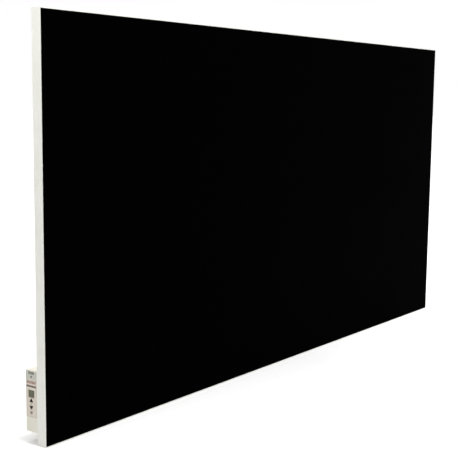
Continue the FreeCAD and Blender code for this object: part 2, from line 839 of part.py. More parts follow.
def leads_outline(half_width):
    """outline round both leads where they pass the rear cover"""
    return octagon, LEAD_X, RUN_BOTTOM, half_width, "dims.lead_spacing"


def screws(label, places, head_plane, head_radius, tip):
    """group of screws with round heads behind a plane and shanks down to their tips"""
    body = new_body(label)
    heads = [(circle, across, up, head_radius) for across, up in places]
    shanks = [(octagon, across, up, "dims.screw_radius") for across, up in places]
    pad(body, f"{label}_heads", "XZ", head_plane, after(head_plane, "dims.screw_head_height"), *heads)
    pad(body, f"{label}_shanks", "XZ", tip, head_plane, *shanks)


def make_hanger(name, side_x, side_z):
    """pressed hat bracket with a keyhole in its crown"""
    body = new_body(f"hanger_{name}")
    crown = "(dims.hanger_crown / 2)"
    outer = HANGER_REACH
    inner = f"({crown} - dims.hanger_sheet)"
    crown_front = before(WALL, "dims.hanger_sheet")
    section = (
        (f"-{outer}", CASING_REAR),
        (f"-{outer}", HANGER_REAR),
        (f"-{crown}", HANGER_REAR),
        (f"-{crown}", WALL),
        (crown, WALL),
        (crown, HANGER_REAR),
        (outer, HANGER_REAR),
        (outer, CASING_REAR),
        (inner, CASING_REAR),
        (inner, crown_front),
        (f"-{inner}", crown_front),
        (f"-{inner}", CASING_REAR),
    )
    half = "(dims.hanger_height / 2)"
    pad(body, f"{name}_hat", "XY", f"(-{half})", half, (outline, *section))

    def crown_edge(point):
        """the two outer bends beside the crown"""
        return near(point.y, WALL)

    bends = straight_edges(body.Tip.Shape, Z_AXIS, crown_edge)
    fillet(body, f"{name}_bends", bends, "dims.hanger_bend")
    through(body, f"{name}_entry", "XZ", crown_front, WALL, (circle, "0", "0", "dims.keyhole_radius"))
    ends = (("0", "0"), ("0", "dims.keyslot_rise"))
    through(body, f"{name}_slot", "XZ", crown_front, WALL, (slot, *ends, "dims.keyslot_radius"))
    body.setExpression(".Placement.Base.x", f"{side_x} * {HANGER_X}")
    body.setExpression(".Placement.Base.z", f"{side_z} * {HANGER_Z}")


def make_grommet():
    """rubber grommet that carries both leads through the rear cover"""
    body = new_body("lead_grommet")
    front_lip = before(COVER_FRONT, "dims.grommet_lip_thickness")
    rear_lip = after(CASING_REAR, "dims.grommet_lip_thickness")
    bore = leads_outline(GROMMET_BORE)
    lip = leads_outline(GROMMET_LIP)
    pad(body, "grommet_front", "XZ", front_lip, COVER_FRONT, lip, bore)
    pad(body, "grommet_waist", "XZ", COVER_FRONT, CASING_REAR, leads_outline(GROMMET_WAIST), bore)
    pad(body, "grommet_rear", "XZ", CASING_REAR, rear_lip, lip, bore)


def make_studs():
    """studs welded to the rear cover and the nuts that hold the box's base on them"""
    studs = new_body("base_studs")
    stud_rear = after(CASING_REAR, "dims.stud_length")
    rounds = [(octagon, across, up, "dims.stud_radius") for across, up in stud_places()]
    pad(studs, "stud_rounds", "XZ", CASING_REAR, stud_rear, *rounds)
    nuts = new_body("base_nuts")
    shapes = []
    for across, up in stud_places():
        shapes.append((hexagon, across, up, "dims.stud_nut_flats"))
        shapes.append((octagon, across, up, "dims.stud_radius + dims.thread_clearance"))
    pad(nuts, "nut_hexagons", "XZ", BASE_REAR, after(BASE_REAR, "dims.stud_nut_height"), *shapes)


# Control box


def boss_places():
    """centres of the two housing screws, on a diagonal of the box"""
    upper = (after(LEFT, "dims.boss_inset_left"), before(BOX_TOP, "dims.boss_inset_up"))
    lower = (before(BOX_RIGHT, "dims.boss_inset_right"), after(BOX_BOTTOM, "dims.boss_inset_up"))
    return upper, lower


SLEEVE_FRONT = before(INNER_REAR, "dims.sleeve_length")


GRILLE_STEP_ACROSS = "(dims.grille_cell_width + dims.grille_bar)"
GRILLE_STEP_UP = "(dims.grille_cell_height + dims.grille_bar)"
GRILLE_OPENING = "dims.grille_border + dims.aperture_clearance"


def grille_cells():
    """openings of the sensor grille"""
    columns = count("grille_columns")
    rows = count("grille_rows")
    cells = []
    for column in range(columns):
        for row in range(rows):
            across = f"{KEY_ROW} + ({column} - ({columns} - 1) / 2) * {GRILLE_STEP_ACROSS}"
            up = f"{level_of('grille')} + ({row} - ({rows} - 1) / 2) * {GRILLE_STEP_UP}"
            half_across = "dims.grille_cell_width / 2"
            half_up = "dims.grille_cell_height / 2"
            sides = (f"{across} - {half_across}", f"{across} + {half_across}")
            cells.append((rectangle, *sides, f"{up} - {half_up}", f"{up} + {half_up}"))
    return cells


def grille_frame(side_margin, end_margin):
    """rectangle round all the openings of the grille, at a margin beside them and above and below"""
    half_across = f"(dims.grille_columns * {GRILLE_STEP_ACROSS} - dims.grille_bar) / 2 + {side_margin}"
    half_up = f"(dims.grille_rows * {GRILLE_STEP_UP} - dims.grille_bar) / 2 + {end_margin}"
    level = level_of("grille")
    left = f"{KEY_ROW} - ({half_across})"
    right = f"{KEY_ROW} + ({half_across})"
    return rectangle, left, right, f"{level} - ({half_up})", f"{level} + ({half_up})"


def display_rectangle(margin):
    """rectangle of the display window at a margin"""
    half_across = f"(dims.display_width / 2 + {margin})"
    half_up = f"(dims.display_height / 2 + {margin})"
    level = level_of("display")
    sides = (f"{KEY_ROW} - {half_across}", f"{KEY_ROW} + {half_across}")
    return rectangle, *sides, f"{level} - {half_up}", f"{level} + {half_up}"


def key_outline(name, margin):
    """triangle or circle of one key at a margin"""
    level = level_of(name)
    if name == "set":
        return circle, KEY_ROW, level, f"dims.set_radius + {margin}"
    way = 1 if name == "up" else -1
    half_rise = f"(dims.key_rise / 2 + {margin})"
    half_span = f"(dims.key_span / 2 + 2 * ({margin}))"
    tip_rise = f"(dims.key_rise / 2 + 2 * ({margin}))"
    tip = (KEY_ROW, f"{level} + {way} * {tip_rise}")
    near_corner = (f"{KEY_ROW} - {half_span}", f"{level} - {way} * {half_rise}")
    far_corner = (f"{KEY_ROW} + {half_span}", f"{level} - {way} * {half_rise}")
    return outline, tip, near_corner, far_corner


def fascia_outline(clearance):
    """rectangle of the label plate at a clearance"""
    front = after(CASING_REAR, "dims.fascia_margin", f"-{clearance}")
    rear = before(BOX_REAR, "dims.fascia_margin", f"-{clearance}")
    low = before(FASCIA_BOTTOM, clearance)
    high = after(FASCIA_TOP, clearance)
    return rectangle, front, rear, low, high


def face_apertures():
    """openings for the window, the lamp and the keys"""
    margin = "dims.aperture_clearance"
    shapes = [display_rectangle(margin)]
    lamp_radius = f"dims.lamp_radius + {margin}"
    shapes.append((circle, KEY_ROW, level_of("lamp"), lamp_radius))
    shapes += [key_outline(name, margin) for name in ("up", "down", "set")]
    return shapes


def make_housing():
    """moulded shell of the control box with its label recess, openings, sleeves and vents"""
    body = new_body("control_housing")
    outer = (rectangle, LEFT, BOX_RIGHT, BOX_BOTTOM, BOX_TOP)
    inner = (rectangle, INNER_LEFT, INNER_RIGHT, INNER_BOTTOM, INNER_TOP)
    pad(body, "housing_block", "XZ", CASING_REAR, BOX_REAR, outer)

    def rounded(point):
        """the outer edges of the right, top, bottom and rear faces"""
        return not near(point.x, LEFT)

    edges = straight_edges(body.Tip.Shape, Y_AXIS, rounded)
    edges += straight_edges(body.Tip.Shape, X_AXIS, lambda point: near(point.y, BOX_REAR))
    edges += straight_edges(body.Tip.Shape, Z_AXIS, lambda point: near(point.y, BOX_REAR))
    fillet(body, "housing_edges", edges, "dims.box_radius")
    cavity_front = before(CASING_REAR, "dims.cut_overrun")
    pocket(body, "housing_cavity", "XZ", cavity_front, INNER_REAR, inner)
    sleeves = [(circle, across, up, "dims.sleeve_radius") for across, up in boss_places()]
    pad(body, "screw_sleeves", "XZ", SLEEVE_FRONT, INNER_REAR, *sleeves)
    sink_floor = after(SLEEVE_FRONT, "dims.sink_floor")
    sinks = [(circle, across, up, "dims.sink_radius") for across, up in boss_places()]
    pocket(body, "screw_sinks", "XZ", sink_floor, after(BOX_REAR, "dims.cut_overrun"), *sinks)
    hole = "dims.screw_radius + dims.thread_clearance"
    holes = [(octagon, across, up, hole) for across, up in boss_places()]
    through(body, "screw_holes", "XZ", SLEEVE_FRONT, sink_floor, *holes)
    recess_start = before(LEFT, "dims.cut_overrun")
    recess = fascia_outline("dims.fascia_clearance")
    pocket(body, "label_recess", "YZ", recess_start, FASCIA_REAR, recess)
    through(body, "face_apertures", "YZ", LEFT, INNER_LEFT, *face_apertures())
    grille = grille_frame(GRILLE_OPENING, GRILLE_OPENING)
    through(body, "grille_opening", "YZ", LEFT, INNER_LEFT, grille)
    gland_hole = "dims.gland_barrel + dims.gland_clearance"
    gland = (circle, GLAND_ROW, GLAND_LEVEL, gland_hole)
    through(body, "gland_hole", "YZ", INNER_RIGHT, BOX_RIGHT, gland)
    slot_ends = (after(CASING_REAR, "dims.vent_edge"), before(BOX_REAR, "dims.vent_edge"))
    vents = []
    for step in range(count("vent_count")):
        centre = f"({LEFT} + dims.vent_inset + {step} * dims.vent_step)"
        half = "dims.vent_slot_width / 2"
        vents.append((rectangle, f"{centre} - {half}", f"{centre} + {half}", *slot_ends))
    through(body, "vent_slots", "XY", BOX_BOTTOM, BOX_TOP, *vents)


def make_fascia():
    """label plate with its own openings"""
    body = new_body("control_fascia")
    pad(body, "label_plate", "YZ", LEFT, FASCIA_REAR, fascia_outline("0"))

    def upper_front(point):
        """the corner that lies beside the panel at the top"""
        return near(point.z, FASCIA_TOP) and near(point.y, after(CASING_REAR, "dims.fascia_margin"))

    corner = straight_edges(body.Tip.Shape, X_AXIS, upper_front)
    fillet(body, "label_corner", corner, "dims.fascia_radius")
    openings = face_apertures() + [grille_frame(GRILLE_OPENING, GRILLE_OPENING)]
    through(body, "label_openings", "YZ", LEFT, FASCIA_REAR, *openings)


def make_base():
    """base plate of the control box with its bosses, board clips and board ribs"""
    body = new_body("control_base")
    gap = "dims.base_clearance"
    left = after(INNER_LEFT, gap)
    right = before(INNER_RIGHT, gap)
    low = after(INNER_BOTTOM, gap)
    high = before(INNER_TOP, gap)
    pad(body, "base_plate", "XZ", CASING_REAR, BASE_REAR, (rectangle, left, right, low, high))
    bosses = [(circle, across, up, "dims.boss_radius") for across, up in boss_places()]
    boss_rear = before(SLEEVE_FRONT, "dims.boss_gap")
    pad(body, "screw_bosses", "XZ", BASE_REAR, boss_rear, *bosses)
    hole = "dims.screw_radius + dims.thread_clearance"
    holes = [(octagon, across, up, hole) for across, up in boss_places()]
    through(body, "boss_holes", "XZ", CASING_REAR, boss_rear, *holes)
    ribs = []
    for face, way in ((CONTROL_BOARD_LEFT, -1), (CONTROL_BOARD_RIGHT, 1)):
        inner = f"{face} + {way} * dims.rib_gap"
        outer = f"{inner} + {way} * dims.rib_thickness"
        sides = (outer, inner) if way < 0 else (inner, outer)
        ribs.append((rectangle, *sides, board_low(), board_high()))
    pad(body, "board_ribs", "XZ", BASE_REAR, after(BASE_REAR, "dims.rib_height"), *ribs)
    for name, edge, way in (("lower", POWER_BOARD_BOTTOM, -1), ("upper", POWER_BOARD_TOP, 1)):
        for place, (start, end) in enumerate(clip_spans(), start=1):
            pad(body, f"{name}_clip_{place}", "YZ", start, end, clip_outline(edge, way))
    hole = "dims.stud_radius + dims.stud_clearance"
    holes = [(octagon, across, up, hole) for across, up in stud_places()]
    holes.append(leads_outline(f"{GROMMET_LIP} + dims.grommet_clearance"))
    through(body, "base_holes", "XZ", CASING_REAR, BASE_REAR, *holes)


def clip_spans():
    """left and right ends of the two clips on each edge of the power board"""
    first = after(POWER_BOARD_LEFT, "dims.clip_inset")
    last = before(POWER_BOARD_RIGHT, "dims.clip_inset")
    return (first, after(first, "dims.clip_width")), (before(last, "dims.clip_width"), last)


def clip_outline(edge, way):
    """side view of one clip: a seat under the board, a tongue beside it and a hook over it"""
    hook_front = after(POWER_BOARD_REAR, "dims.clip_gap")
    hook_rear = after(hook_front, "dims.clip_step")
    inside = f"({edge} - {way} * dims.clip_step)"
    beside = f"({edge} + {way} * dims.clip_gap)"
    outside = f"({beside} + {way} * dims.clip_thickness)"
    hook = f"({edge} - {way} * dims.clip_hook)"
    corners = (
        (BASE_REAR, inside),
        (POWER_BOARD_FRONT, inside),
        (POWER_BOARD_FRONT, beside),
        (hook_front, beside),
        (hook_front, hook),
        (hook_rear, beside),
        (hook_rear, outside),
        (BASE_REAR, outside),
    )
    return outline, *corners


def board_low():
    """lower end of the control board"""
    return after(INNER_BOTTOM, "dims.control_board_margin")


def board_high():
    """upper end of the control board"""
    return before(INNER_TOP, "dims.control_board_margin")


# Display, lamp, sensor and keys


def make_display():
    """window in the label plate and the module behind it"""
    window = new_body("display_window")
    pad(window, "window_pane", "YZ", LEFT, INNER_LEFT, display_rectangle("0"))
    level = level_of("display")
    half_across = "(dims.display_width / 2 + dims.display_module_margin)"
    front = f"({KEY_ROW} - {half_across})"
    rear = f"({KEY_ROW} + {half_across})"
    module_left = before(CONTROL_BOARD_LEFT, "dims.display_module_depth")
    low = before(level, "dims.display_height / 2")
    high = before(INNER_TOP, "dims.display_module_gap")
    block("display_module", module_left, CONTROL_BOARD_LEFT, front, rear, low, high)


def make_lamp():
    """light guide from the board to the label plate"""
    body = new_body("status_lens")
    centre = (KEY_ROW, level_of("lamp"))
    pad(body, "light_guide", "YZ", LEFT, CONTROL_BOARD_LEFT, (circle, *centre, "dims.lamp_radius"))


def make_grille():
    """insert in the left wall with the bars, the seat for the gauze and a tab behind the wall on each side"""
    body = new_body("sensor_grille")
    border = "dims.grille_border"
    tab_rear = after(INNER_LEFT, "dims.grille_tab_thickness")
    pad(body, "grille_insert", "YZ", FASCIA_REAR, INNER_LEFT, grille_frame(border, border))
    pad(body, "grille_tabs", "YZ", INNER_LEFT, tab_rear, grille_frame(f"{border} + dims.grille_tab", "0"))
    margin = "dims.gauze_lap + dims.aperture_clearance"
    seat_end = after(tab_rear, "dims.cut_overrun")
    pocket(body, "gauze_seat", "YZ", GRILLE_REAR, seat_end, grille_frame(margin, margin))
    through(body, "grille_openings", "YZ", FASCIA_REAR, GRILLE_REAR, *grille_cells())


def make_air_sensor():
    """gauze in its seat behind the grille and the sensor on the board behind it"""
    gauze = new_body("sensor_gauze")
    gauze_rear = after(GRILLE_REAR, "dims.gauze_thickness")
    sheet = grille_frame("dims.gauze_lap", "dims.gauze_lap")
    pad(gauze, "gauze_sheet", "YZ", GRILLE_REAR, gauze_rear, sheet)
    half = "dims.sensor_bead_size / 2"
    tip = before(CONTROL_BOARD_LEFT, "dims.sensor_bead_length")
    level = level_of("grille")
    sides = (before(KEY_ROW, half), after(KEY_ROW, half))
    block("air_sensor", tip, CONTROL_BOARD_LEFT, *sides, before(level, half), after(level, half))


def make_key(name):
    """key cap with the collar that keeps it in and the stem that meets its switch"""
    body = new_body(f"{name}_button")
    cap_left = before(LEFT, "dims.key_proud")
    pad(body, f"{name}_cap", "YZ", cap_left, COLLAR_FRONT, key_outline(name, "0"))
    pad(body, f"{name}_collar", "YZ", COLLAR_FRONT, COLLAR_REAR, key_outline(name, "dims.key_rim"))
    stem_tip = before(SWITCH_TIP, "dims.key_travel", "dims.travel_clearance")
    stem = (circle, KEY_ROW, level_of(name), "dims.stem_radius")
    pad(body, f"{name}_stem", "YZ", COLLAR_REAR, stem_tip, stem)


def make_control_board():
    """upright board with the three key switches"""
    front = after(BASE_REAR, "dims.rib_gap")
    rear = before(INNER_REAR, "dims.control_board_gap")
    sides = (CONTROL_BOARD_LEFT, CONTROL_BOARD_RIGHT)
    block("control_board", *sides, front, rear, board_low(), board_high())
    switches = new_body("key_switches")
    bodies = []
    plungers = []
    for name in ("up", "down", "set"):
        level = level_of(name)
        for shapes, half in ((bodies, "dims.switch_size / 2"), (plungers, "dims.plunger_size / 2")):
            sides = (f"{KEY_ROW} - {half}", f"{KEY_ROW} + {half}")
            shapes.append((rectangle, *sides, f"{level} - {half}", f"{level} + {half}"))
    pad(switches, "switch_bodies", "YZ", SWITCH_FRONT, CONTROL_BOARD_LEFT, *bodies)
    pad(switches, "switch_plungers", "YZ", SWITCH_TIP, SWITCH_FRONT, *plungers)


# Power board


def make_power_board():
    """flat board in its clips, with terminal block, relay, supply module and capacitor"""
    faces = (POWER_BOARD_FRONT, POWER_BOARD_REAR)
    block("power_board", POWER_BOARD_LEFT, POWER_BOARD_RIGHT, *faces, POWER_BOARD_BOTTOM, POWER_BOARD_TOP)
    low = before(RUN_BOTTOM, "dims.block_margin")
    high = after(LEAD_HIGH, "dims.block_margin")
    block_rear = after(POWER_BOARD_REAR, "dims.block_height")
    block_right = after(BLOCK_LEFT, "dims.block_width")
    block("terminal_block", BLOCK_LEFT, block_right, POWER_BOARD_REAR, block_rear, low, high)
    left = after(block_right, "dims.part_spacing")
    relay_top = after(low, "dims.relay_length")
    rear = after(POWER_BOARD_REAR, "dims.relay_height")
    block("relay", left, after(left, "dims.relay_width"), POWER_BOARD_REAR, rear, low, relay_top)
    module_low = after(relay_top, "dims.part_spacing")
    module_top = after(module_low, "dims.module_length")
    rear = after(POWER_BOARD_REAR, "dims.module_height")
    module_right = after(left, "dims.module_width")
    block("supply_module", left, module_right, POWER_BOARD_REAR, rear, module_low, module_top)
    low = after(module_top, "dims.part_spacing")
    high = after(low, "dims.capacitor_length")
    rear = after(POWER_BOARD_REAR, "dims.capacitor_height")
    right = after(left, "dims.capacitor_width")
    block("filter_capacitor", left, right, POWER_BOARD_REAR, rear, low, high)


# Cord gland


def make_gland():
    """cord gland in the right wall with its nut inside"""
    body = new_body("cord_gland")
    centre = (GLAND_ROW, GLAND_LEVEL)
    bore = (circle, *centre, "dims.gland_bore")
    collar_right = after(BOX_RIGHT, "dims.gland_collar")
    dome_right = after(collar_right, "dims.gland_dome_length")
    barrel_left = before(INNER_RIGHT, "dims.gland_inner_length")
    pad(body, "gland_barrel", "YZ", barrel_left, BOX_RIGHT, (circle, *centre, "dims.gland_barrel"), bore)
    pad(body, "gland_collar", "YZ", BOX_RIGHT, collar_right, (hexagon, *centre, "dims.gland_flats"), bore)
    pad(body, "gland_dome", "YZ", collar_right, dome_right, (circle, *centre, "dims.gland_dome_radius"), bore)
    nose = []
    for index, edge in enumerate(body.Tip.Shape.Edges, start=1):
        if near(edge.CenterOfMass.x, dome_right) and near(edge.Curve.Radius, "dims.gland_dome_radius"):
            nose.append(f"Edge{index}")
    dress(body, "Chamfer", "gland_nose", "Size", nose, "dims.gland_nose")
    nut = new_body("gland_nut")
    nut_left = before(INNER_RIGHT, "dims.gland_nut_height")
    flats = (hexagon, *centre, "dims.gland_nut_flats")
    hole = (circle, *centre, "dims.gland_barrel + dims.thread_clearance")
    pad(nut, "gland_nut_hexagon", "YZ", nut_left, INNER_RIGHT, flats, hole)


def make_all():
    """every piece of the heater"""
    make_plate()
    make_seal()
    for name, side in (("left", -1), ("right", 1), ("top", 1), ("bottom", -1)):
        make_rail(name, side)
    make_corner_keys()
    make_element()
    make_leads()
    make_backing()
    make_protectors()
    make_cover()
    tip = after(LEDGE_REAR, "dims.screw_tip_gap")
    screws("rear_cover_screws", all_screw_places(), CASING_REAR, "dims.screw_head_radius", tip)
    for name, side_x, side_z in (
        ("upper_left", -1, 1),
        ("upper_right", 1, 1),
        ("lower_left", -1, -1),
        ("lower_right", 1, -1),
    ):
        make_hanger(name, side_x, side_z)
    make_grommet()
    make_studs()
    make_housing()
    make_fascia()
    make_base()
    sink_floor = after(SLEEVE_FRONT, "dims.sink_floor")
    head_radius = "dims.sink_radius - dims.sink_gap"
    tip = before(sink_floor, "dims.housing_screw_length")
    screws("housing_screws", boss_places(), sink_floor, head_radius, tip)
    make_display()
    make_lamp()
    make_grille()
    make_air_sensor()
    for name in ("up", "down", "set"):
        make_key(name)
    make_control_board()
    make_power_board()
    make_gland()


def check_all():
    """stop at any object that failed or any piece that is not a valid solid"""
    for item in DOC.Objects:
        if "Invalid" in item.State or "Error" in item.State:
            raise RuntimeError(f"{item.Label} failed: {item.State}")
    for piece in PIECES:
        shape = piece.Shape
        if shape.isNull() or not shape.isValid() or not shape.Solids:
            raise RuntimeError(f"{piece.Label} has no valid solid")


def write_all():
    """one file for each piece"""
    os.makedirs("parts", exist_ok=True)
    for piece in PIECES:
        piece.Shape.exportStep(f"parts/{piece.Label}.step")
    print(len(PIECES), "pieces,", sum(len(piece.Shape.Solids) for piece in PIECES), "solids")


make_all()
DOC.recompute()
check_all()
write_all()
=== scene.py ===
import math

import bmesh
import bpy
from mathutils import Matrix, Vector


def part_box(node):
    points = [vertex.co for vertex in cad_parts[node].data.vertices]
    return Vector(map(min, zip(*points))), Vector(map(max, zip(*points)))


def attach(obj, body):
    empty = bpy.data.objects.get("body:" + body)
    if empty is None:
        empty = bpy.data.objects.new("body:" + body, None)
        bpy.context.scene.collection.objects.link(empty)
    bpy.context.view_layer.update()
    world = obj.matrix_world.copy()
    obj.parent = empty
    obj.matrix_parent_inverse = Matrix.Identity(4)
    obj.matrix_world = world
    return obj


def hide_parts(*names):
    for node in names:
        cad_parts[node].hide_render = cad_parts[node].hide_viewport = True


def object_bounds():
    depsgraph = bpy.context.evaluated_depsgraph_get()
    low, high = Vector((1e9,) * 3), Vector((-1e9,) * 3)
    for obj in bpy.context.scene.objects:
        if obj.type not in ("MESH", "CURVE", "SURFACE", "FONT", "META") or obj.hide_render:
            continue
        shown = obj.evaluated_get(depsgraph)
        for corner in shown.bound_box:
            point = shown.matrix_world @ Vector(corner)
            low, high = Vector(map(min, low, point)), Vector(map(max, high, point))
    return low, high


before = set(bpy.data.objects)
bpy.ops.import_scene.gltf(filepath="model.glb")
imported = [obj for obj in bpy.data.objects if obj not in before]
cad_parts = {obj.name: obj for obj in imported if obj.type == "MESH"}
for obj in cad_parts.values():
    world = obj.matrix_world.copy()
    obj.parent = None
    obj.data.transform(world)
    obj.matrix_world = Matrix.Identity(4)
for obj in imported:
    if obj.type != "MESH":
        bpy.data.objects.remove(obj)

CAD_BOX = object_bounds()
BODY = "heater"
MM = 0.001

# Camera at the photograph's viewing angle
CAMERA_PLACE = Vector((-1.49399, -1.01903, 0.18274))
CAMERA_YAW = math.radians(53.28315)
CAMERA_PITCH = math.radians(-7.55946)
CAMERA_ROLL = math.radians(0.67589)
CAMERA_LENS = 76.72
CAMERA_SENSOR = 36.0

# Room and lamps
WHITE = (1, 1, 1, 1)
FLOOR_SPAN = 60.0
FLOOR_COLOUR = 0.61
# Floor glow for camera rays is weakest near this middle and grows further off: painted shade round the
# object's foot, and painted light that washes out the lamps' shadows further away
PAINTED_SHADE_MIDDLE = Vector((-0.30, 0.0, -0.30))
GLOW_NEAR_PAINTED_SHADE = 0.25
GLOW_FAR = 0.85
PAINTED_SHADE_START = 0.34
PAINTED_SHADE_END = 1.5
ROOM_LEVEL = 0.36
BACKDROP_LEVEL = 1.0
TOP_PLACE = Vector((-0.30, 0.05, 2.00))
TOP_TARGET = Vector((-0.20, 0.0, 0.0))
TOP_SPAN = 1.1
TOP_WATTS = 24.0
SKYLIGHT_TILT = math.radians(4.4)
SKYLIGHT_ANGLE = math.radians(1.2)
SKYLIGHT_LEVEL = 1.3
FRONT_PLACE = Vector((-0.35, -1.10, 1.90))
FRONT_TARGET = Vector((-0.15, -0.10, -0.10))
FRONT_SPAN = 0.9
FRONT_WATTS = 17.0
SIDE_PLACE = Vector((-1.15, -0.12, 0.85))
SIDE_TARGET = Vector((-0.60, -0.03, 0.25))
SIDE_SPAN = 0.6
SIDE_WATTS = 4.5
BACK_PLACE = Vector((1.60, 1.50, 0.45))
BACK_TARGET = Vector((0.0, 0.0, 0.0))
BACK_SPAN = 0.6
BACK_WATTS = 11.0

# Label plate and its printed marks
LABEL_GREY_DROP = 11.0 * MM
LABEL_BLEND = 6.0 * MM
PRINT_THICKNESS = 0.03 * MM
BORDER_MARGIN = 0.9 * MM
BORDER_WIDTH = 0.35 * MM
BORDER_RADIUS = 1.6 * MM
RULE_DROP = 22.8 * MM
RULE_HEIGHT = 2.8 * MM
RULE_MARGIN = 0.9 * MM
WAVE_DROP = 17.1 * MM
WAVE_HEIGHT = 4.6 * MM
WAVE_SWING = 0.5 * MM
WAVE_STROKE = 1.6 * MM
WAVE_STEP = 2.6 * MM
WAVE_COUNT = 7
WAVE_POINTS = 24
WAVE_END_SHARE = 0.45
DEGREE_RADIUS = 1.4 * MM
DEGREE_STROKE = 0.6 * MM
DEGREE_POINTS = 28
DIGIT_HEIGHT = 3.4 * MM
DIGIT_WIDTH = 2.2 * MM
DIGIT_STROKE = 0.6 * MM
DIGIT_STEP = 2.95 * MM
DIGITS_SHIFT = DIGIT_STEP / 4
DIGITS_SHOWN = "215"
DIGITS_BEFORE_POINT = 2
SEGMENT_GAP_SHARE = 0.16
POINT_REACH_SHARE = 0.45
RING_PLACE_SHARE = 1.6
RING_OUTER_SHARE = 1.5
RING_INNER_SHARE = 0.7
RING_POINTS = 16
CORNER_POINTS = 6

# Screws with cross recesses
SCREW_HEAD_HEIGHT = 1.4 * MM
SCREW_SHANK_RADIUS = 1.45 * MM
HEAD_DOME_SHARE = 0.62
DOME_STEPS = 8
CROSS_REACH_SHARE = 0.62
CROSS_WIDTH_SHARE = 0.24
CROSS_DEPTH_SHARE = 0.72
CROSS_FOOT_SHARE = 0.72
CROSS_CUT_SHARE = 1.2
FIRST_TURN_DEGREES = 17
NEXT_TURN_DEGREES = 41
SHARP_ANGLE = math.radians(32)
SAME_POINT = MM / 1000
ROUND_STEPS = 40

# Spot welds on the hangers; their profile is in shares of the radius and the height
WELD_RADIUS = 2.4 * MM
WELD_HEIGHT = 0.18 * MM
WELD_INSET = 14.0 * MM
WELD_STEPS = 24
WELD_PROFILE_SHARES = ((0, 0.35), (0.55, 0.3), (0.78, 1), (0.92, 0.7), (1, 0), (0, 0))
HANGER_SHEET = 1.5 * MM
HANGER_CROWN = 30.0 * MM

# Height at which the upper lead's colour gives way to the lower lead's
LEADS_SPLIT = -245.0 * MM

# Places of the share, the two colours and the result among the sockets of a colour Mix node
MIX_SHARE = 0
MIX_LOW = 6
MIX_HIGH = 7
MIX_RESULT = 2


# Colours and procedural finishes


def tone(red, green, blue):
    """linear colour of an sRGB colour given from 0 to 255"""
    def linear(value):
        share = value / 255
        return share / 12.92 if share <= 0.04045 else ((share + 0.055) / 1.055) ** 2.4
    return (linear(red), linear(green), linear(blue), 1.0)


def between(low, high, share):
    """colour between two colours"""
    return tuple(a + (b - a) * share for a, b in zip(low, high))


class Finish:
    """one procedural material: a Principled shader with its colour, roughness and relief from nodes"""

    def __init__(self, name, roughness, metallic=0.0, specular=0.5):
        self.material = bpy.data.materials.new(name)
        self.material.use_nodes = True
        self.tree = self.material.node_tree
        self.shader = self.tree.nodes["Principled BSDF"]
        self.shader.inputs["Metallic"].default_value = metallic
        self.shader.inputs["Specular IOR Level"].default_value = specular
        self.shader.inputs["Roughness"].default_value = roughness
        self.place = self.add("ShaderNodeTexCoord").outputs["Object"]
        self.relief = None

    def add(self, kind, **settings):
        """new node with its settings"""
        node = self.tree.nodes.new(kind)
        for name, value in settings.items():
            setattr(node, name, value)
        return node

    def join(self, output, node, socket):
        """link from an output to a named socket"""
        self.tree.links.new(output, node.inputs[socket])

    def stretched(self, across, deep, up):
        """object coordinates scaled by a share along each axis"""
        mapping = self.add("ShaderNodeMapping")
        mapping.inputs["Scale"].default_value = (across, deep, up)
        self.join(self.place, mapping, "Vector")
        return mapping.outputs["Vector"]

    def noise(self, scale, detail=3.0, place=None, roughness=0.55):
        """noise whose scale is a number of features in a metre"""
        node = self.add("ShaderNodeTexNoise")
        node.inputs["Scale"].default_value = scale
        node.inputs["Detail"].default_value = detail
        node.inputs["Roughness"].default_value = roughness
        self.join(place or self.place, node, "Vector")
        return node.outputs["Fac"]

    def cells(self, scale, feature="F1", place=None):
        """Voronoi distance whose scale is a number of cells in a metre"""
        node = self.add("ShaderNodeTexVoronoi", feature=feature)
        node.inputs["Scale"].default_value = scale
        self.join(place or self.place, node, "Vector")
        return node.outputs["Distance"]

    def span(self, value, low, high, new_low=0.0, new_high=1.0):
        """value moved from one span to another and kept inside it"""
        node = self.add("ShaderNodeMapRange", clamp=True)
        node.inputs["From Min"].default_value = low
        node.inputs["From Max"].default_value = high
        node.inputs["To Min"].default_value = new_low
        node.inputs["To Max"].default_value = new_high
        self.join(value, node, "Value")
        return node.outputs["Result"]

    def sums(self, operation, first, second=0.0):
        """one sum of two values, each an output or a number"""
        node = self.add("ShaderNodeMath", operation=operation)
        for index, value in enumerate((first, second)):
            if isinstance(value, (int, float)):
                node.inputs[index].default_value = value
            else:
                self.tree.links.new(value, node.inputs[index])
        return node.outputs["Value"]

    def axis(self, letter):
        """one coordinate of the surface point, in metres"""
        node = self.add("ShaderNodeSeparateXYZ")
        self.join(self.place, node, "Vector")
        return node.outputs[letter]

    def waves(self, letter, rate):
        """sine along one axis, whose rate is in radians for each metre"""
        return self.sums("SINE", self.sums("MULTIPLY", self.axis(letter), rate))

    def mix(self, share, low, high):
        """colour mixed between two colours, each an output or a colour"""
        node = self.add("ShaderNodeMix", data_type="RGBA")
        self.tree.links.new(share, node.inputs[MIX_SHARE])
        for index, value in ((MIX_LOW, low), (MIX_HIGH, high)):
            if isinstance(value, tuple):
                node.inputs[index].default_value = value
            else:
                self.tree.links.new(value, node.inputs[index])
        return node.outputs[MIX_RESULT]

    def colour(self, output):
        """surface colour from a node's output"""
        self.join(output, self.shader, "Base Color")

    def rough(self, value, low, high, rough_low, rough_high):
        """roughness that follows a value"""
        self.join(self.span(value, low, high, rough_low, rough_high), self.shader, "Roughness")

    def bump(self, height, strength, distance):
        """relief added over the relief so far; its distance is in metres"""
        node = self.add("ShaderNodeBump")
        node.inputs["Strength"].default_value = strength
        node.inputs["Distance"].default_value = distance
        self.join(height, node, "Height")
        if self.relief is not None:
            self.join(self.relief, node, "Normal")
        self.relief = node.outputs["Normal"]
        self.join(self.relief, self.shader, "Normal")

    def coat(self, weight, roughness):
        """clear layer over the colour"""
        self.shader.inputs["Coat Weight"].default_value = weight
        self.shader.inputs["Coat Roughness"].default_value = roughness


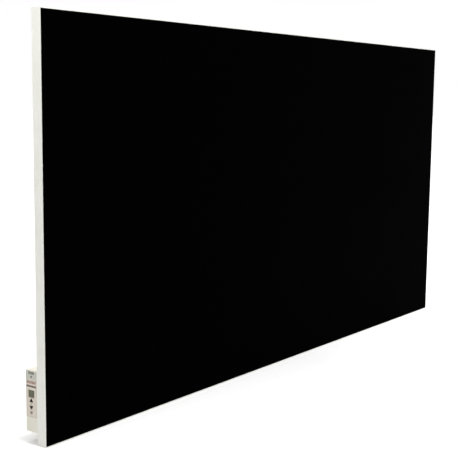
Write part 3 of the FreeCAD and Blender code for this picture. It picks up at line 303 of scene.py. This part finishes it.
def glaze():
    """black glazed ceramic with a fine, matt grain"""
    finish = Finish("glaze", 0.5, specular=0.001)
    grain = finish.noise(900, detail=4)
    cloud = finish.noise(9, detail=2)
    dark, light = (0.0002, 0.0002, 0.0003, 1), (0.0008, 0.0008, 0.0009, 1)
    cloudy = (0.0005, 0.0005, 0.0006, 1)
    base = finish.mix(finish.span(grain, 0.35, 0.7), dark, light)
    finish.colour(finish.mix(finish.span(cloud, 0.3, 0.8), base, cloudy))
    finish.rough(cloud, 0.3, 0.7, 0.46, 0.54)
    finish.bump(finish.noise(420, detail=2), strength=0.25, distance=0.05 * MM)
    return finish.material


def powder_coat(name, light, dark, peel):
    """powder-coated steel or aluminium with orange peel"""
    finish = Finish(name, 0.5, specular=0.4)
    cloud = finish.noise(14, detail=3)
    fleck = finish.noise(2200, detail=2)
    base = finish.mix(finish.span(cloud, 0.3, 0.7), dark, light)
    finish.colour(finish.mix(finish.span(fleck, 0.62, 0.8, 0.0, 0.35), base, dark))
    finish.rough(cloud, 0.3, 0.7, 0.42, 0.52)
    finish.bump(finish.noise(peel, detail=2), strength=0.35, distance=0.06 * MM)
    finish.bump(fleck, strength=0.15, distance=0.02 * MM)
    return finish.material


def rubber(name, colour):
    """matt rubber with a fine bloom"""
    finish = Finish(name, 0.7, specular=0.3)
    bloom = finish.noise(120, detail=4)
    bloomed = between(colour, (0.2, 0.2, 0.2, 1), 0.12)
    finish.colour(finish.mix(finish.span(bloom, 0.4, 0.75), colour, bloomed))
    finish.rough(bloom, 0.3, 0.7, 0.6, 0.78)
    finish.bump(finish.noise(1800, detail=2), strength=0.3, distance=0.03 * MM)
    return finish.material


def metal(name, light, dark, roughness, stretch=(1.0, 1.0, 1.0)):
    """bare or plated metal with drawn streaks"""
    finish = Finish(name, roughness, metallic=1.0)
    streak = finish.noise(400, detail=4, place=finish.stretched(*stretch))
    cloud = finish.noise(60, detail=3)
    base = finish.mix(finish.span(streak, 0.35, 0.7), dark, light)
    finish.colour(finish.mix(finish.span(cloud, 0.45, 0.75, 0.0, 0.5), base, dark))
    finish.rough(streak, 0.3, 0.7, roughness - 0.08, roughness + 0.1)
    finish.bump(streak, strength=0.2, distance=0.03 * MM)
    return finish.material


def silicone_mat():
    """red-brown silicone sheet with its woven glass showing through"""
    finish = Finish("silicone_mat", 0.6, specular=0.4)
    rate = 7000
    weave = finish.sums("MULTIPLY", finish.waves("X", rate), finish.waves("Z", rate))
    finish.colour(finish.mix(finish.span(weave, -1, 1), tone(142, 58, 38), tone(165, 76, 52)))
    finish.bump(weave, strength=0.3, distance=0.05 * MM)
    return finish.material


def leads():
    """two silicone leads, one brown and one blue, by their height"""
    finish = Finish("lead_sheath", 0.45, specular=0.5)
    upper = finish.sums("GREATER_THAN", finish.axis("Z"), LEADS_SPLIT)
    dust = finish.noise(300, detail=3)
    blue = finish.mix(finish.span(dust, 0.4, 0.7), tone(36, 78, 150), tone(48, 92, 165))
    brown = finish.mix(finish.span(dust, 0.4, 0.7), tone(92, 52, 32), tone(108, 64, 42))
    finish.colour(finish.mix(upper, blue, brown))
    finish.bump(finish.noise(900, detail=2), strength=0.2, distance=0.02 * MM)
    return finish.material


def foil():
    """crinkled aluminium foil"""
    finish = Finish("foil", 0.28, metallic=1.0)
    crease = finish.cells(90, feature="DISTANCE_TO_EDGE")
    finish.colour(finish.mix(finish.noise(200), (0.78, 0.79, 0.80, 1), (0.88, 0.88, 0.88, 1)))
    finish.rough(crease, 0.0, 0.2, 0.38, 0.24)
    finish.bump(crease, strength=0.5, distance=0.3 * MM)
    return finish.material


def insulation():
    """pressed mineral fibre board"""
    finish = Finish("insulation", 0.95, specular=0.2)
    fibre = finish.noise(260, detail=6, place=finish.stretched(1.0, 3.0, 6.0))
    clump = finish.noise(70, detail=4)
    base = finish.mix(finish.span(fibre, 0.35, 0.7), tone(205, 196, 172), tone(232, 226, 208))
    finish.colour(finish.mix(finish.span(clump, 0.5, 0.8, 0.0, 0.4), base, tone(188, 176, 150)))
    finish.bump(fibre, strength=0.7, distance=0.4 * MM)
    return finish.material


def moulded(name, light, dark, roughness=0.5, specular=0.4):
    """moulded plastic with a spark-eroded grain"""
    finish = Finish(name, roughness, specular=specular)
    flow = finish.noise(18, detail=3)
    grain = finish.noise(2600, detail=3)
    finish.colour(finish.mix(finish.span(flow, 0.3, 0.7), dark, light))
    finish.rough(grain, 0.3, 0.7, roughness - 0.06, roughness + 0.08)
    finish.bump(grain, strength=0.3, distance=0.03 * MM)
    return finish.material


def label():
    """printed polyester label plate, greyer round the display and warmer below it"""
    finish = Finish("label", 0.42, specular=0.45)
    grey_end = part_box("control_fascia")[1].z - LABEL_GREY_DROP
    rise = finish.span(finish.axis("Z"), grey_end - LABEL_BLEND, grey_end)
    cloud = finish.noise(160, detail=3)
    warm = finish.mix(finish.span(cloud, 0.35, 0.7), tone(219, 208, 196), tone(227, 216, 204))
    grey = finish.mix(finish.span(cloud, 0.35, 0.7), tone(198, 197, 185), tone(205, 204, 193))
    finish.colour(finish.mix(rise, warm, grey))
    finish.rough(cloud, 0.3, 0.7, 0.38, 0.46)
    finish.bump(finish.noise(3000, detail=2), strength=0.15, distance=0.01 * MM)
    return finish.material


def display_glass():
    """grey-green display glass"""
    finish = Finish("smoked_window", 0.25, specular=0.5)
    cloud = finish.noise(200, detail=2)
    finish.colour(finish.mix(cloud, tone(132, 135, 122), tone(142, 145, 132)))
    finish.coat(0.6, 0.08)
    return finish.material


def lamp():
    """smoky lamp lens with a darker core"""
    finish = Finish("lamp", 0.3, specular=0.5)
    core = finish.cells(700)
    finish.colour(finish.mix(finish.span(core, 0.0, 0.7), tone(52, 49, 40), tone(76, 72, 60)))
    finish.coat(0.8, 0.1)
    return finish.material


def gauze():
    """dark woven gauze behind the grille"""
    finish = Finish("gauze", 0.6, specular=0.15)
    rate = 5200
    across = finish.sums("ABSOLUTE", finish.waves("Y", rate))
    up = finish.sums("ABSOLUTE", finish.waves("Z", rate))
    weave = finish.sums("MAXIMUM", across, up)
    finish.colour(finish.mix(finish.span(weave, 0.55, 0.95), tone(59, 59, 50), tone(130, 130, 114)))
    finish.bump(weave, strength=0.6, distance=0.1 * MM)
    return finish.material


def circuit_board():
    """green solder mask with copper tracks under it"""
    finish = Finish("circuit_board", 0.4, specular=0.5)
    lanes = finish.cells(260, feature="DISTANCE_TO_EDGE", place=finish.stretched(1.0, 1.0, 0.35))
    track = finish.span(lanes, 0.06, 0.1)
    finish.colour(finish.mix(track, tone(58, 118, 62), tone(26, 78, 44)))
    finish.rough(lanes, 0.0, 0.3, 0.3, 0.45)
    finish.bump(track, strength=0.3, distance=0.03 * MM)
    return finish.material


def printed(name, colour, roughness=0.5):
    """ink on the label plate"""
    finish = Finish(name, roughness, specular=0.35)
    spread = finish.noise(1400, detail=3)
    thinned = between(colour, (0.75, 0.72, 0.66, 1), 0.10)
    finish.colour(finish.mix(finish.span(spread, 0.35, 0.75), colour, thinned))
    return finish.material


# Object and mesh tools


def add_object(name, data):
    """object of a mesh, lamp or camera, linked to the scene"""
    made = bpy.data.objects.new(name, data)
    bpy.context.scene.collection.objects.link(made)
    return made


def to_piece(name, mesh_data, material, body, smooth=False):
    """piece made from a bmesh, riding on a body"""
    mesh = bpy.data.meshes.new(name)
    bmesh.ops.recalc_face_normals(mesh_data, faces=mesh_data.faces)
    mesh_data.to_mesh(mesh)
    mesh_data.free()
    for polygon in mesh.polygons:
        polygon.use_smooth = smooth
    mesh.materials.append(material)
    piece = add_object(name, mesh)
    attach(piece, body)


def add_prism(mesh_data, outline, near, far):
    """closed prism of an outline of (y, z) points between two x planes"""
    rings = []
    for x in (near, far):
        rings.append([mesh_data.verts.new((x, y, z)) for y, z in outline])
    mesh_data.faces.new(rings[0])
    mesh_data.faces.new(list(reversed(rings[1])))
    count = len(outline)
    for index in range(count):
        after = (index + 1) % count
        mesh_data.faces.new((rings[0][index], rings[1][index], rings[1][after], rings[0][after]))


def add_band(mesh_data, inner, outer, near, far):
    """closed band between two loops of (y, z) points with as many points, between two x planes"""
    loops = []
    for x in (near, far):
        for loop in (inner, outer):
            loops.append([mesh_data.verts.new((x, y, z)) for y, z in loop])
    near_inner, near_outer, far_inner, far_outer = loops
    count = len(inner)
    for index in range(count):
        after = (index + 1) % count
        for first, second in (
            (near_inner, near_outer),
            (near_outer, far_outer),
            (far_outer, far_inner),
            (far_inner, near_inner),
        ):
            mesh_data.faces.new((first[index], first[after], second[after], second[index]))


def arc(middle_y, middle_z, radius, start, sweep, steps):
    """points of an arc in degrees, both ends included"""
    points = []
    for step in range(steps + 1):
        turn = math.radians(start + sweep * step / steps)
        points.append((middle_y + radius * math.cos(turn), middle_z + radius * math.sin(turn)))
    return points


def circle(middle_y, middle_z, radius, count):
    """points of a full circle, each of them once"""
    return arc(middle_y, middle_z, radius, 0, 360, count)[:-1]


def rounded(low_y, high_y, low_z, high_z, radius):
    """rounded rectangle of (y, z) points, anticlockwise"""
    corners = (
        (high_y - radius, high_z - radius, 0),
        (low_y + radius, high_z - radius, 90),
        (low_y + radius, low_z + radius, 180),
        (high_y - radius, low_z + radius, 270),
    )
    points = []
    for middle_y, middle_z, start in corners:
        points += arc(middle_y, middle_z, radius, start, 90, CORNER_POINTS)
    return points


# Printed marks


LABEL_LOW, LABEL_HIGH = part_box("control_fascia")
WINDOW_LOW, WINDOW_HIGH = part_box("display_window")
KEYS_MIDDLE = (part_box("up_button")[0].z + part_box("down_button")[1].z) / 2
LABEL_MIDDLE = (LABEL_LOW.y + LABEL_HIGH.y) / 2
FACE = LABEL_LOW.x
PRINT_FACE = FACE - PRINT_THICKNESS
KEY_ROW = (WINDOW_LOW.y + WINDOW_HIGH.y) / 2
BOX_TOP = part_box("control_housing")[1].z


def label_border():
    """thin printed line round the label plate"""
    mesh_data = bmesh.new()
    sides = (LABEL_LOW.y, LABEL_HIGH.y, LABEL_LOW.z, LABEL_HIGH.z)

    def loop(margin, radius):
        """rounded loop at a margin inside the plate"""
        low_y, high_y, low_z, high_z = sides
        return rounded(low_y + margin, high_y - margin, low_z + margin, high_z - margin, radius)

    inner = loop(BORDER_MARGIN + BORDER_WIDTH, BORDER_RADIUS - BORDER_WIDTH)
    add_band(mesh_data, inner, loop(BORDER_MARGIN, BORDER_RADIUS), FACE, PRINT_FACE)
    to_piece("label_border", mesh_data, printed("border_ink", tone(178, 178, 160)), BODY)


def label_rule():
    """plain dark rule between the heat mark and the grille"""
    mesh_data = bmesh.new()
    middle = BOX_TOP - RULE_DROP
    low, high = middle - RULE_HEIGHT / 2, middle + RULE_HEIGHT / 2
    outline = rounded(LABEL_LOW.y + RULE_MARGIN, LABEL_HIGH.y - RULE_MARGIN, low, high, RULE_HEIGHT / 4)
    add_prism(mesh_data, outline, FACE, PRINT_FACE)
    to_piece("label_rule", mesh_data, printed("rule_ink", tone(105, 96, 86)), BODY)


def wave_outline(middle_y, low_z):
    """outline of one upright heat wave"""
    left, right = [], []
    for step in range(WAVE_POINTS + 1):
        share = step / WAVE_POINTS
        swing = WAVE_SWING * math.sin(2 * math.pi * share)
        swell = WAVE_END_SHARE + (1 - WAVE_END_SHARE) * math.sin(math.pi * share)
        stroke = WAVE_STROKE / 2 * swell
        level = low_z + WAVE_HEIGHT * share
        left.append((middle_y + swing - stroke, level))
        right.append((middle_y + swing + stroke, level))
    return left + list(reversed(right))


def heat_mark():
    """row of plain heat waves"""
    mesh_data = bmesh.new()
    low_z = BOX_TOP - WAVE_DROP - WAVE_HEIGHT / 2
    for index in range(WAVE_COUNT):
        middle_y = LABEL_MIDDLE + (index - (WAVE_COUNT - 1) / 2) * WAVE_STEP
        add_prism(mesh_data, wave_outline(middle_y, low_z), FACE, PRINT_FACE)
    to_piece("heat_mark", mesh_data, printed("heat_ink", tone(122, 46, 26)), BODY)


def degree_mark():
    """plain ring between the two arrow keys"""
    mesh_data = bmesh.new()
    inner = circle(KEY_ROW, KEYS_MIDDLE, DEGREE_RADIUS - DEGREE_STROKE, DEGREE_POINTS)
    outer = circle(KEY_ROW, KEYS_MIDDLE, DEGREE_RADIUS, DEGREE_POINTS)
    add_band(mesh_data, inner, outer, FACE, PRINT_FACE)
    to_piece("degree_mark", mesh_data, printed("degree_ink", tone(160, 132, 114)), BODY)


SEGMENTS = {
    "0": "abcdef",
    "1": "bc",
    "2": "abged",
    "3": "abgcd",
    "4": "fgbc",
    "5": "afgcd",
    "6": "afgedc",
    "7": "abc",
    "8": "abcdefg",
    "9": "abcdfg",
}


def add_segment(mesh_data, start, end, near, far):
    """one display segment with pointed ends; start and end are (right, up) points"""
    along = (Vector(end) - Vector(start)).normalized()
    side = Vector((-along.y, along.x)) * DIGIT_STROKE / 2
    gap = along * DIGIT_STROKE * SEGMENT_GAP_SHARE
    point = along * DIGIT_STROKE / 2
    first, last = Vector(start) + gap, Vector(end) - gap
    corners = (
        first,
        first + point + side,
        last - point + side,
        last,
        last - point - side,
        first + point - side,
    )
    add_prism(mesh_data, [(-corner.x, corner.y) for corner in corners], near, far)


def display_digits():
    """plain number on the display, with a small ring after it"""
    mesh_data = bmesh.new()
    half_width = (DIGIT_WIDTH - DIGIT_STROKE) / 2
    half_height = (DIGIT_HEIGHT - DIGIT_STROKE) / 2
    middle_z = (WINDOW_LOW.z + WINDOW_HIGH.z) / 2
    glass = WINDOW_LOW.x
    for index, digit in enumerate(DIGITS_SHOWN):
        right = -KEY_ROW + (index - (len(DIGITS_SHOWN) - 1) / 2) * DIGIT_STEP - DIGITS_SHIFT
        left_x, right_x = right - half_width, right + half_width
        low, high = middle_z - half_height, middle_z + half_height
        places = {
            "a": ((left_x, high), (right_x, high)),
            "b": ((right_x, high), (right_x, middle_z)),
            "c": ((right_x, middle_z), (right_x, low)),
            "d": ((left_x, low), (right_x, low)),
            "e": ((left_x, middle_z), (left_x, low)),
            "f": ((left_x, high), (left_x, middle_z)),
            "g": ((left_x, middle_z), (right_x, middle_z)),
        }
        for letter in SEGMENTS[digit]:
            add_segment(mesh_data, *places[letter], glass, glass - PRINT_THICKNESS)
    point_right = -KEY_ROW + (DIGITS_BEFORE_POINT - len(DIGITS_SHOWN) / 2) * DIGIT_STEP - DIGITS_SHIFT
    point_reach = DIGIT_STROKE * POINT_REACH_SHARE
    point_up = middle_z - half_height
    point = rounded(
        -point_right - point_reach,
        -point_right + point_reach,
        point_up - point_reach,
        point_up + point_reach,
        point_reach / 3,
    )
    add_prism(mesh_data, point, glass, glass - PRINT_THICKNESS)
    ring_middle = (KEY_ROW - DIGIT_STEP * RING_PLACE_SHARE, middle_z + half_height - DIGIT_STROKE)
    inner = circle(*ring_middle, DIGIT_STROKE * RING_INNER_SHARE, RING_POINTS)
    outer = circle(*ring_middle, DIGIT_STROKE * RING_OUTER_SHARE, RING_POINTS)
    add_band(mesh_data, inner, outer, glass, glass - PRINT_THICKNESS)
    ink = printed("digit_ink", tone(40, 42, 35), 0.3)
    to_piece("display_digits", mesh_data, ink, BODY)


# Fasteners and pressed marks


def lathe(profile, steps=ROUND_STEPS):
    """closed solid turned about the Y axis from (radius, y) points that start and end on the axis"""
    mesh_data = bmesh.new()
    start = mesh_data.verts.new((0, profile[0][1], 0))
    end = mesh_data.verts.new((0, profile[-1][1], 0))
    rings = []
    for radius, level in profile[1:-1]:
        ring = []
        for step in range(steps):
            turn = 2 * math.pi * step / steps
            ring.append(mesh_data.verts.new((radius * math.cos(turn), level, radius * math.sin(turn))))
        rings.append(ring)
    for step in range(steps):
        after = (step + 1) % steps
        mesh_data.faces.new((start, rings[0][after], rings[0][step]))
        mesh_data.faces.new((end, rings[-1][step], rings[-1][after]))
        for low, high in zip(rings, rings[1:]):
            mesh_data.faces.new((low[step], low[after], high[after], high[step]))
    bmesh.ops.recalc_face_normals(mesh_data, faces=mesh_data.faces)
    return mesh_data


def cut_with(mesh_data, cutter_data):
    """mesh of the first bmesh with the second cut out of it"""
    pieces = []
    for name, data in (("turned_solid", mesh_data), ("cutter_solid", cutter_data)):
        mesh = bpy.data.meshes.new(name)
        data.to_mesh(mesh)
        data.free()
        pieces.append(add_object(name, mesh))
    solid, cutter = pieces
    modifier = solid.modifiers.new("cut", "BOOLEAN")
    modifier.operation = "DIFFERENCE"
    modifier.solver = "EXACT"
    modifier.object = cutter
    graph = bpy.context.evaluated_depsgraph_get()
    result = bpy.data.meshes.new_from_object(solid.evaluated_get(graph))
    for piece in pieces:
        bpy.data.objects.remove(piece)
    return result


def screw_mesh(head_radius, head_height, shank_radius, shank_length):
    """screw with a domed head at y 0 to its height and a cross recess in it"""
    profile = [(0, head_height)]
    for step in range(1, DOME_STEPS + 1):
        turn = math.pi / 2 * step / DOME_STEPS
        rise = head_height * (1 - HEAD_DOME_SHARE) + head_height * HEAD_DOME_SHARE * math.cos(turn)
        profile.append((head_radius * math.sin(turn), rise))
    profile += [(head_radius, 0), (shank_radius, 0), (shank_radius, -shank_length), (0, -shank_length)]
    reach = head_radius * CROSS_REACH_SHARE
    half_width = head_radius * CROSS_WIDTH_SHARE / 2
    floor = head_height * (1 - CROSS_DEPTH_SHARE)
    top = head_height * CROSS_CUT_SHARE
    cutter = bmesh.new()
    outline = (
        (reach, half_width),
        (half_width, half_width),
        (half_width, reach),
        (-half_width, reach),
        (-half_width, half_width),
        (-reach, half_width),
        (-reach, -half_width),
        (-half_width, -half_width),
        (-half_width, -reach),
        (half_width, -reach),
        (half_width, -half_width),
        (reach, -half_width),
    )
    foot = [(x * CROSS_FOOT_SHARE, z * CROSS_FOOT_SHARE) for x, z in outline]
    high_ring = [cutter.verts.new((x, top, z)) for x, z in outline]
    low_ring = [cutter.verts.new((x, floor, z)) for x, z in foot]
    cutter.faces.new(high_ring)
    cutter.faces.new(list(reversed(low_ring)))
    for index in range(len(outline)):
        after = (index + 1) % len(outline)
        cutter.faces.new((high_ring[index], low_ring[index], low_ring[after], high_ring[after]))
    bmesh.ops.recalc_face_normals(cutter, faces=cutter.faces)
    return cut_with(lathe(profile), cutter)


def islands(node):
    """boxes of the separate solids of a CAD node, as (low, high) corners"""
    mesh_data = bmesh.new()
    mesh_data.from_mesh(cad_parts[node].data)
    bmesh.ops.remove_doubles(mesh_data, verts=mesh_data.verts, dist=SAME_POINT)
    left = set(mesh_data.verts)
    found = []
    while left:
        front = [left.pop()]
        points = []
        while front:
            vertex = front.pop()
            points.append(vertex.co.copy())
            for edge in vertex.link_edges:
                other = edge.other_vert(vertex)
                if other in left:
                    left.remove(other)
                    front.append(other)
        low = Vector(map(min, *[tuple(point) for point in points]))
        high = Vector(map(max, *[tuple(point) for point in points]))
        found.append((low, high))
    mesh_data.free()
    return sorted(found, key=lambda corners: tuple(corners[0]))


def screw_group(name, node, material):
    """cross-recess screws in place of the plain ones of a node"""
    group = bmesh.new()
    for index, (low, high) in enumerate(islands(node)):
        head_radius = (high.x - low.x) / 2
        seat = high.y - SCREW_HEAD_HEIGHT
        master = screw_mesh(head_radius, SCREW_HEAD_HEIGHT, SCREW_SHANK_RADIUS, seat - low.y)
        degrees = FIRST_TURN_DEGREES + NEXT_TURN_DEGREES * index
        turn = Matrix.Rotation(math.radians(degrees), 4, "Y")
        middle = Matrix.Translation(((low.x + high.x) / 2, seat, (low.z + high.z) / 2))
        master.transform(middle @ turn)
        group.from_mesh(master)
        bpy.data.meshes.remove(master)
    mesh = bpy.data.meshes.new(name)
    group.to_mesh(mesh)
    group.free()
    mesh.materials.clear()
    mesh.materials.append(material)
    piece = add_object(name, mesh)
    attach(piece, BODY)
    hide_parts(node)
    mesh.shade_smooth()
    mesh.set_sharp_from_angle(angle=SHARP_ANGLE)


def weld_marks(hanger, material):
    """shallow spot-weld rings on a hanger's two feet"""
    low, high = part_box(hanger)
    seat = low.y + HANGER_SHEET
    group = bmesh.new()
    profile = [(WELD_RADIUS * across, WELD_HEIGHT * rise) for across, rise in WELD_PROFILE_SHARES]
    foot_reach = (high.x - low.x - HANGER_CROWN) / 4
    for x in (low.x + foot_reach, high.x - foot_reach):
        for z in (low.z + WELD_INSET, high.z - WELD_INSET):
            mark = lathe(profile, WELD_STEPS)
            mesh = bpy.data.meshes.new("weld")
            bmesh.ops.translate(mark, verts=mark.verts, vec=(x, seat, z))
            mark.to_mesh(mesh)
            mark.free()
            group.from_mesh(mesh)
            bpy.data.meshes.remove(mesh)
    to_piece(f"{hanger}_welds", group, material, BODY, smooth=True)


# Materials of the CAD nodes


def dress():
    """gives every CAD node its finish and returns the finishes by name"""
    bright, dull = (0.68, 0.69, 0.70, 1), (0.52, 0.53, 0.54, 1)
    finishes = {
        "glaze": glaze(),
        "white_frame": powder_coat("white_frame", tone(243, 243, 236), tone(239, 239, 231), 520),
        "white_sheet": powder_coat("white_sheet", tone(240, 240, 237), tone(237, 237, 234), 420),
        "seal": rubber("seal", tone(30, 30, 31)),
        "bare_metal": metal("bare_metal", bright, dull, 0.38, stretch=(0.1, 1.0, 1.0)),
        "plated_steel": metal("plated_steel", (0.72, 0.74, 0.76, 1), (0.56, 0.57, 0.57, 1), 0.30),
        "silicone_mat": silicone_mat(),
        "track_metal": metal("track_metal", (0.46, 0.42, 0.38, 1), (0.34, 0.31, 0.28, 1), 0.35),
        "lead_sheath": leads(),
        "foil": foil(),
        "insulation": insulation(),
        "white_plastic": moulded("white_plastic", tone(236, 233, 219), tone(232, 228, 214)),
        "label": label(),
        "smoked_window": display_glass(),
        "lamp": lamp(),
        "key": moulded("key", tone(38, 27, 20), tone(30, 21, 15), 0.6, specular=0.15),
        "set_key": moulded("set_key", tone(146, 135, 116), tone(136, 126, 108), 0.5),
        "dark_plastic": moulded("dark_plastic", tone(38, 38, 40), tone(28, 28, 30), 0.45),
        "gauze": gauze(),
        "grille_plastic": moulded(
            "grille_plastic", tone(148, 148, 128), tone(140, 140, 121), 0.55, specular=0.25
        ),
        "circuit_board": circuit_board(),
        "block_plastic": moulded("block_plastic", tone(206, 208, 200), tone(194, 196, 188), 0.45),
        "gland_plastic": moulded("gland_plastic", tone(214, 214, 208), tone(204, 204, 198), 0.45),
    }
    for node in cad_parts.values():
        slots = node.data.materials
        for index, old in enumerate(slots):
            slots[index] = finishes[old.name.split(".")[0]]
    return finishes


def build_details(finishes):
    """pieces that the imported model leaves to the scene"""
    label_border()
    label_rule()
    heat_mark()
    degree_mark()
    display_digits()
    steel = finishes["plated_steel"]
    screw_group("rear_cross_screws", "rear_cover_screws", steel)
    screw_group("housing_cross_screws", "housing_screws", steel)
    for side in ("upper_left", "upper_right", "lower_left", "lower_right"):
        weld_marks(f"hanger_{side}", finishes["white_sheet"])


# Stage


def seen_white(tree):
    """value that is 1 for camera, glossy and transmission rays"""
    path = tree.nodes.new("ShaderNodeLightPath")
    total = path.outputs["Is Camera Ray"]
    for name in ("Is Glossy Ray", "Is Transmission Ray"):
        node = tree.nodes.new("ShaderNodeMath")
        node.operation = "MAXIMUM"
        tree.links.new(total, node.inputs[0])
        tree.links.new(path.outputs[name], node.inputs[1])
        total = node.outputs["Value"]
    return total


def build_world():
    """white background over a soft room light"""
    world = bpy.data.worlds.new("studio")
    bpy.context.scene.world = world
    world.use_nodes = True
    tree = world.node_tree
    room = tree.nodes["Background"]
    room.inputs["Color"].default_value = WHITE
    room.inputs["Strength"].default_value = ROOM_LEVEL
    backdrop = tree.nodes.new("ShaderNodeBackground")
    backdrop.inputs["Color"].default_value = WHITE
    backdrop.inputs["Strength"].default_value = BACKDROP_LEVEL
    mix = tree.nodes.new("ShaderNodeMixShader")
    tree.links.new(seen_white(tree), mix.inputs[0])
    tree.links.new(room.outputs[0], mix.inputs[1])
    tree.links.new(backdrop.outputs[0], mix.inputs[2])
    tree.links.new(mix.outputs[0], tree.nodes["World Output"].inputs["Surface"])


def floor_paper_painted_shade():
    """pale paper that is seen white and grows brighter away from the object; its weaker glow near the
    object is painted shade round the object's foot
    """
    material = bpy.data.materials.new("floor_paper_painted_shade")
    material.use_nodes = True
    tree = material.node_tree
    tree.nodes.remove(tree.nodes["Principled BSDF"])
    paper = tree.nodes.new("ShaderNodeBsdfDiffuse")
    paper.inputs["Color"].default_value = (FLOOR_COLOUR, FLOOR_COLOUR, FLOOR_COLOUR, 1)
    place = tree.nodes.new("ShaderNodeTexCoord")
    distance = tree.nodes.new("ShaderNodeVectorMath")
    distance.operation = "DISTANCE"
    distance.inputs[1].default_value = PAINTED_SHADE_MIDDLE
    tree.links.new(place.outputs["Object"], distance.inputs[0])
    # glow weaker near the object: painted shade on the floor round its foot
    painted_shade_ramp = tree.nodes.new("ShaderNodeMapRange")
    spans = {"From Min": PAINTED_SHADE_START, "From Max": PAINTED_SHADE_END, "To Min": GLOW_NEAR_PAINTED_SHADE, "To Max": GLOW_FAR}
    for name, value in spans.items():
        painted_shade_ramp.inputs[name].default_value = value
    tree.links.new(distance.outputs["Value"], painted_shade_ramp.inputs["Value"])
    strength = tree.nodes.new("ShaderNodeMath")
    strength.operation = "MULTIPLY"
    tree.links.new(seen_white(tree), strength.inputs[0])
    tree.links.new(painted_shade_ramp.outputs["Result"], strength.inputs[1])
    glow = tree.nodes.new("ShaderNodeEmission")
    tree.links.new(strength.outputs["Value"], glow.inputs["Strength"])
    both = tree.nodes.new("ShaderNodeAddShader")
    tree.links.new(paper.outputs[0], both.inputs[0])
    tree.links.new(glow.outputs[0], both.inputs[1])
    tree.links.new(both.outputs[0], tree.nodes["Material Output"].inputs["Surface"])
    return material


def build_floor():
    """wide pale floor that keeps the object's shadow, with painted shade from its weaker glow near the
    object's foot
    """
    mesh_data = bmesh.new()
    half = FLOOR_SPAN / 2
    level = CAD_BOX[0].z
    corners = ((-half, -half), (half, -half), (half, half), (-half, half))
    mesh_data.faces.new([mesh_data.verts.new((x, y, level)) for x, y in corners])
    mesh = bpy.data.meshes.new("floor")
    mesh_data.to_mesh(mesh)
    mesh_data.free()
    mesh.materials.append(floor_paper_painted_shade())
    floor = add_object("floor", mesh)


def add_lamp(name, place, target, span, watts):
    """soft square lamp that points at a target"""
    data = bpy.data.lights.new(name, "AREA")
    data.shape = "SQUARE"
    data.size = span
    data.energy = watts
    lamp_object = add_object(name, data)
    lamp_object.location = place
    lamp_object.rotation_mode = "QUATERNION"
    lamp_object.rotation_quaternion = (target - place).to_track_quat("-Z", "Y")


def add_skylight():
    """far lamp straight above, leaning a little to the front, that draws the shadow under the object"""
    data = bpy.data.lights.new("skylight", "SUN")
    data.energy = SKYLIGHT_LEVEL
    data.angle = SKYLIGHT_ANGLE
    skylight = add_object("skylight", data)
    skylight.rotation_euler = (SKYLIGHT_TILT, 0, 0)


def build_camera():
    """camera at the photograph's viewing angle"""
    data = bpy.data.cameras.new("camera")
    data.sensor_width = CAMERA_SENSOR
    data.lens = CAMERA_LENS
    data.clip_end = FLOOR_SPAN * 2
    camera = add_object("camera", data)
    level = math.cos(CAMERA_PITCH)
    ahead = Vector((math.sin(CAMERA_YAW) * level, math.cos(CAMERA_YAW) * level, math.sin(CAMERA_PITCH)))
    side = Vector((math.cos(CAMERA_YAW), -math.sin(CAMERA_YAW), 0))
    above = side.cross(ahead)
    right = side * math.cos(CAMERA_ROLL) + above * math.sin(CAMERA_ROLL)
    up = above * math.cos(CAMERA_ROLL) - side * math.sin(CAMERA_ROLL)
    turn = Matrix((right, up, -ahead)).transposed().to_4x4()
    camera.matrix_world = Matrix.Translation(CAMERA_PLACE) @ turn
    bpy.context.scene.camera = camera


build_world()
build_floor()
add_lamp("top_lamp", TOP_PLACE, TOP_TARGET, TOP_SPAN, TOP_WATTS)
add_lamp("front_lamp", FRONT_PLACE, FRONT_TARGET, FRONT_SPAN, FRONT_WATTS)
add_lamp("side_lamp", SIDE_PLACE, SIDE_TARGET, SIDE_SPAN, SIDE_WATTS)
add_lamp("back_lamp", BACK_PLACE, BACK_TARGET, BACK_SPAN, BACK_WATTS)
add_skylight()
build_camera()
bpy.context.scene.view_settings.view_transform = "Standard"
build_details(dress())
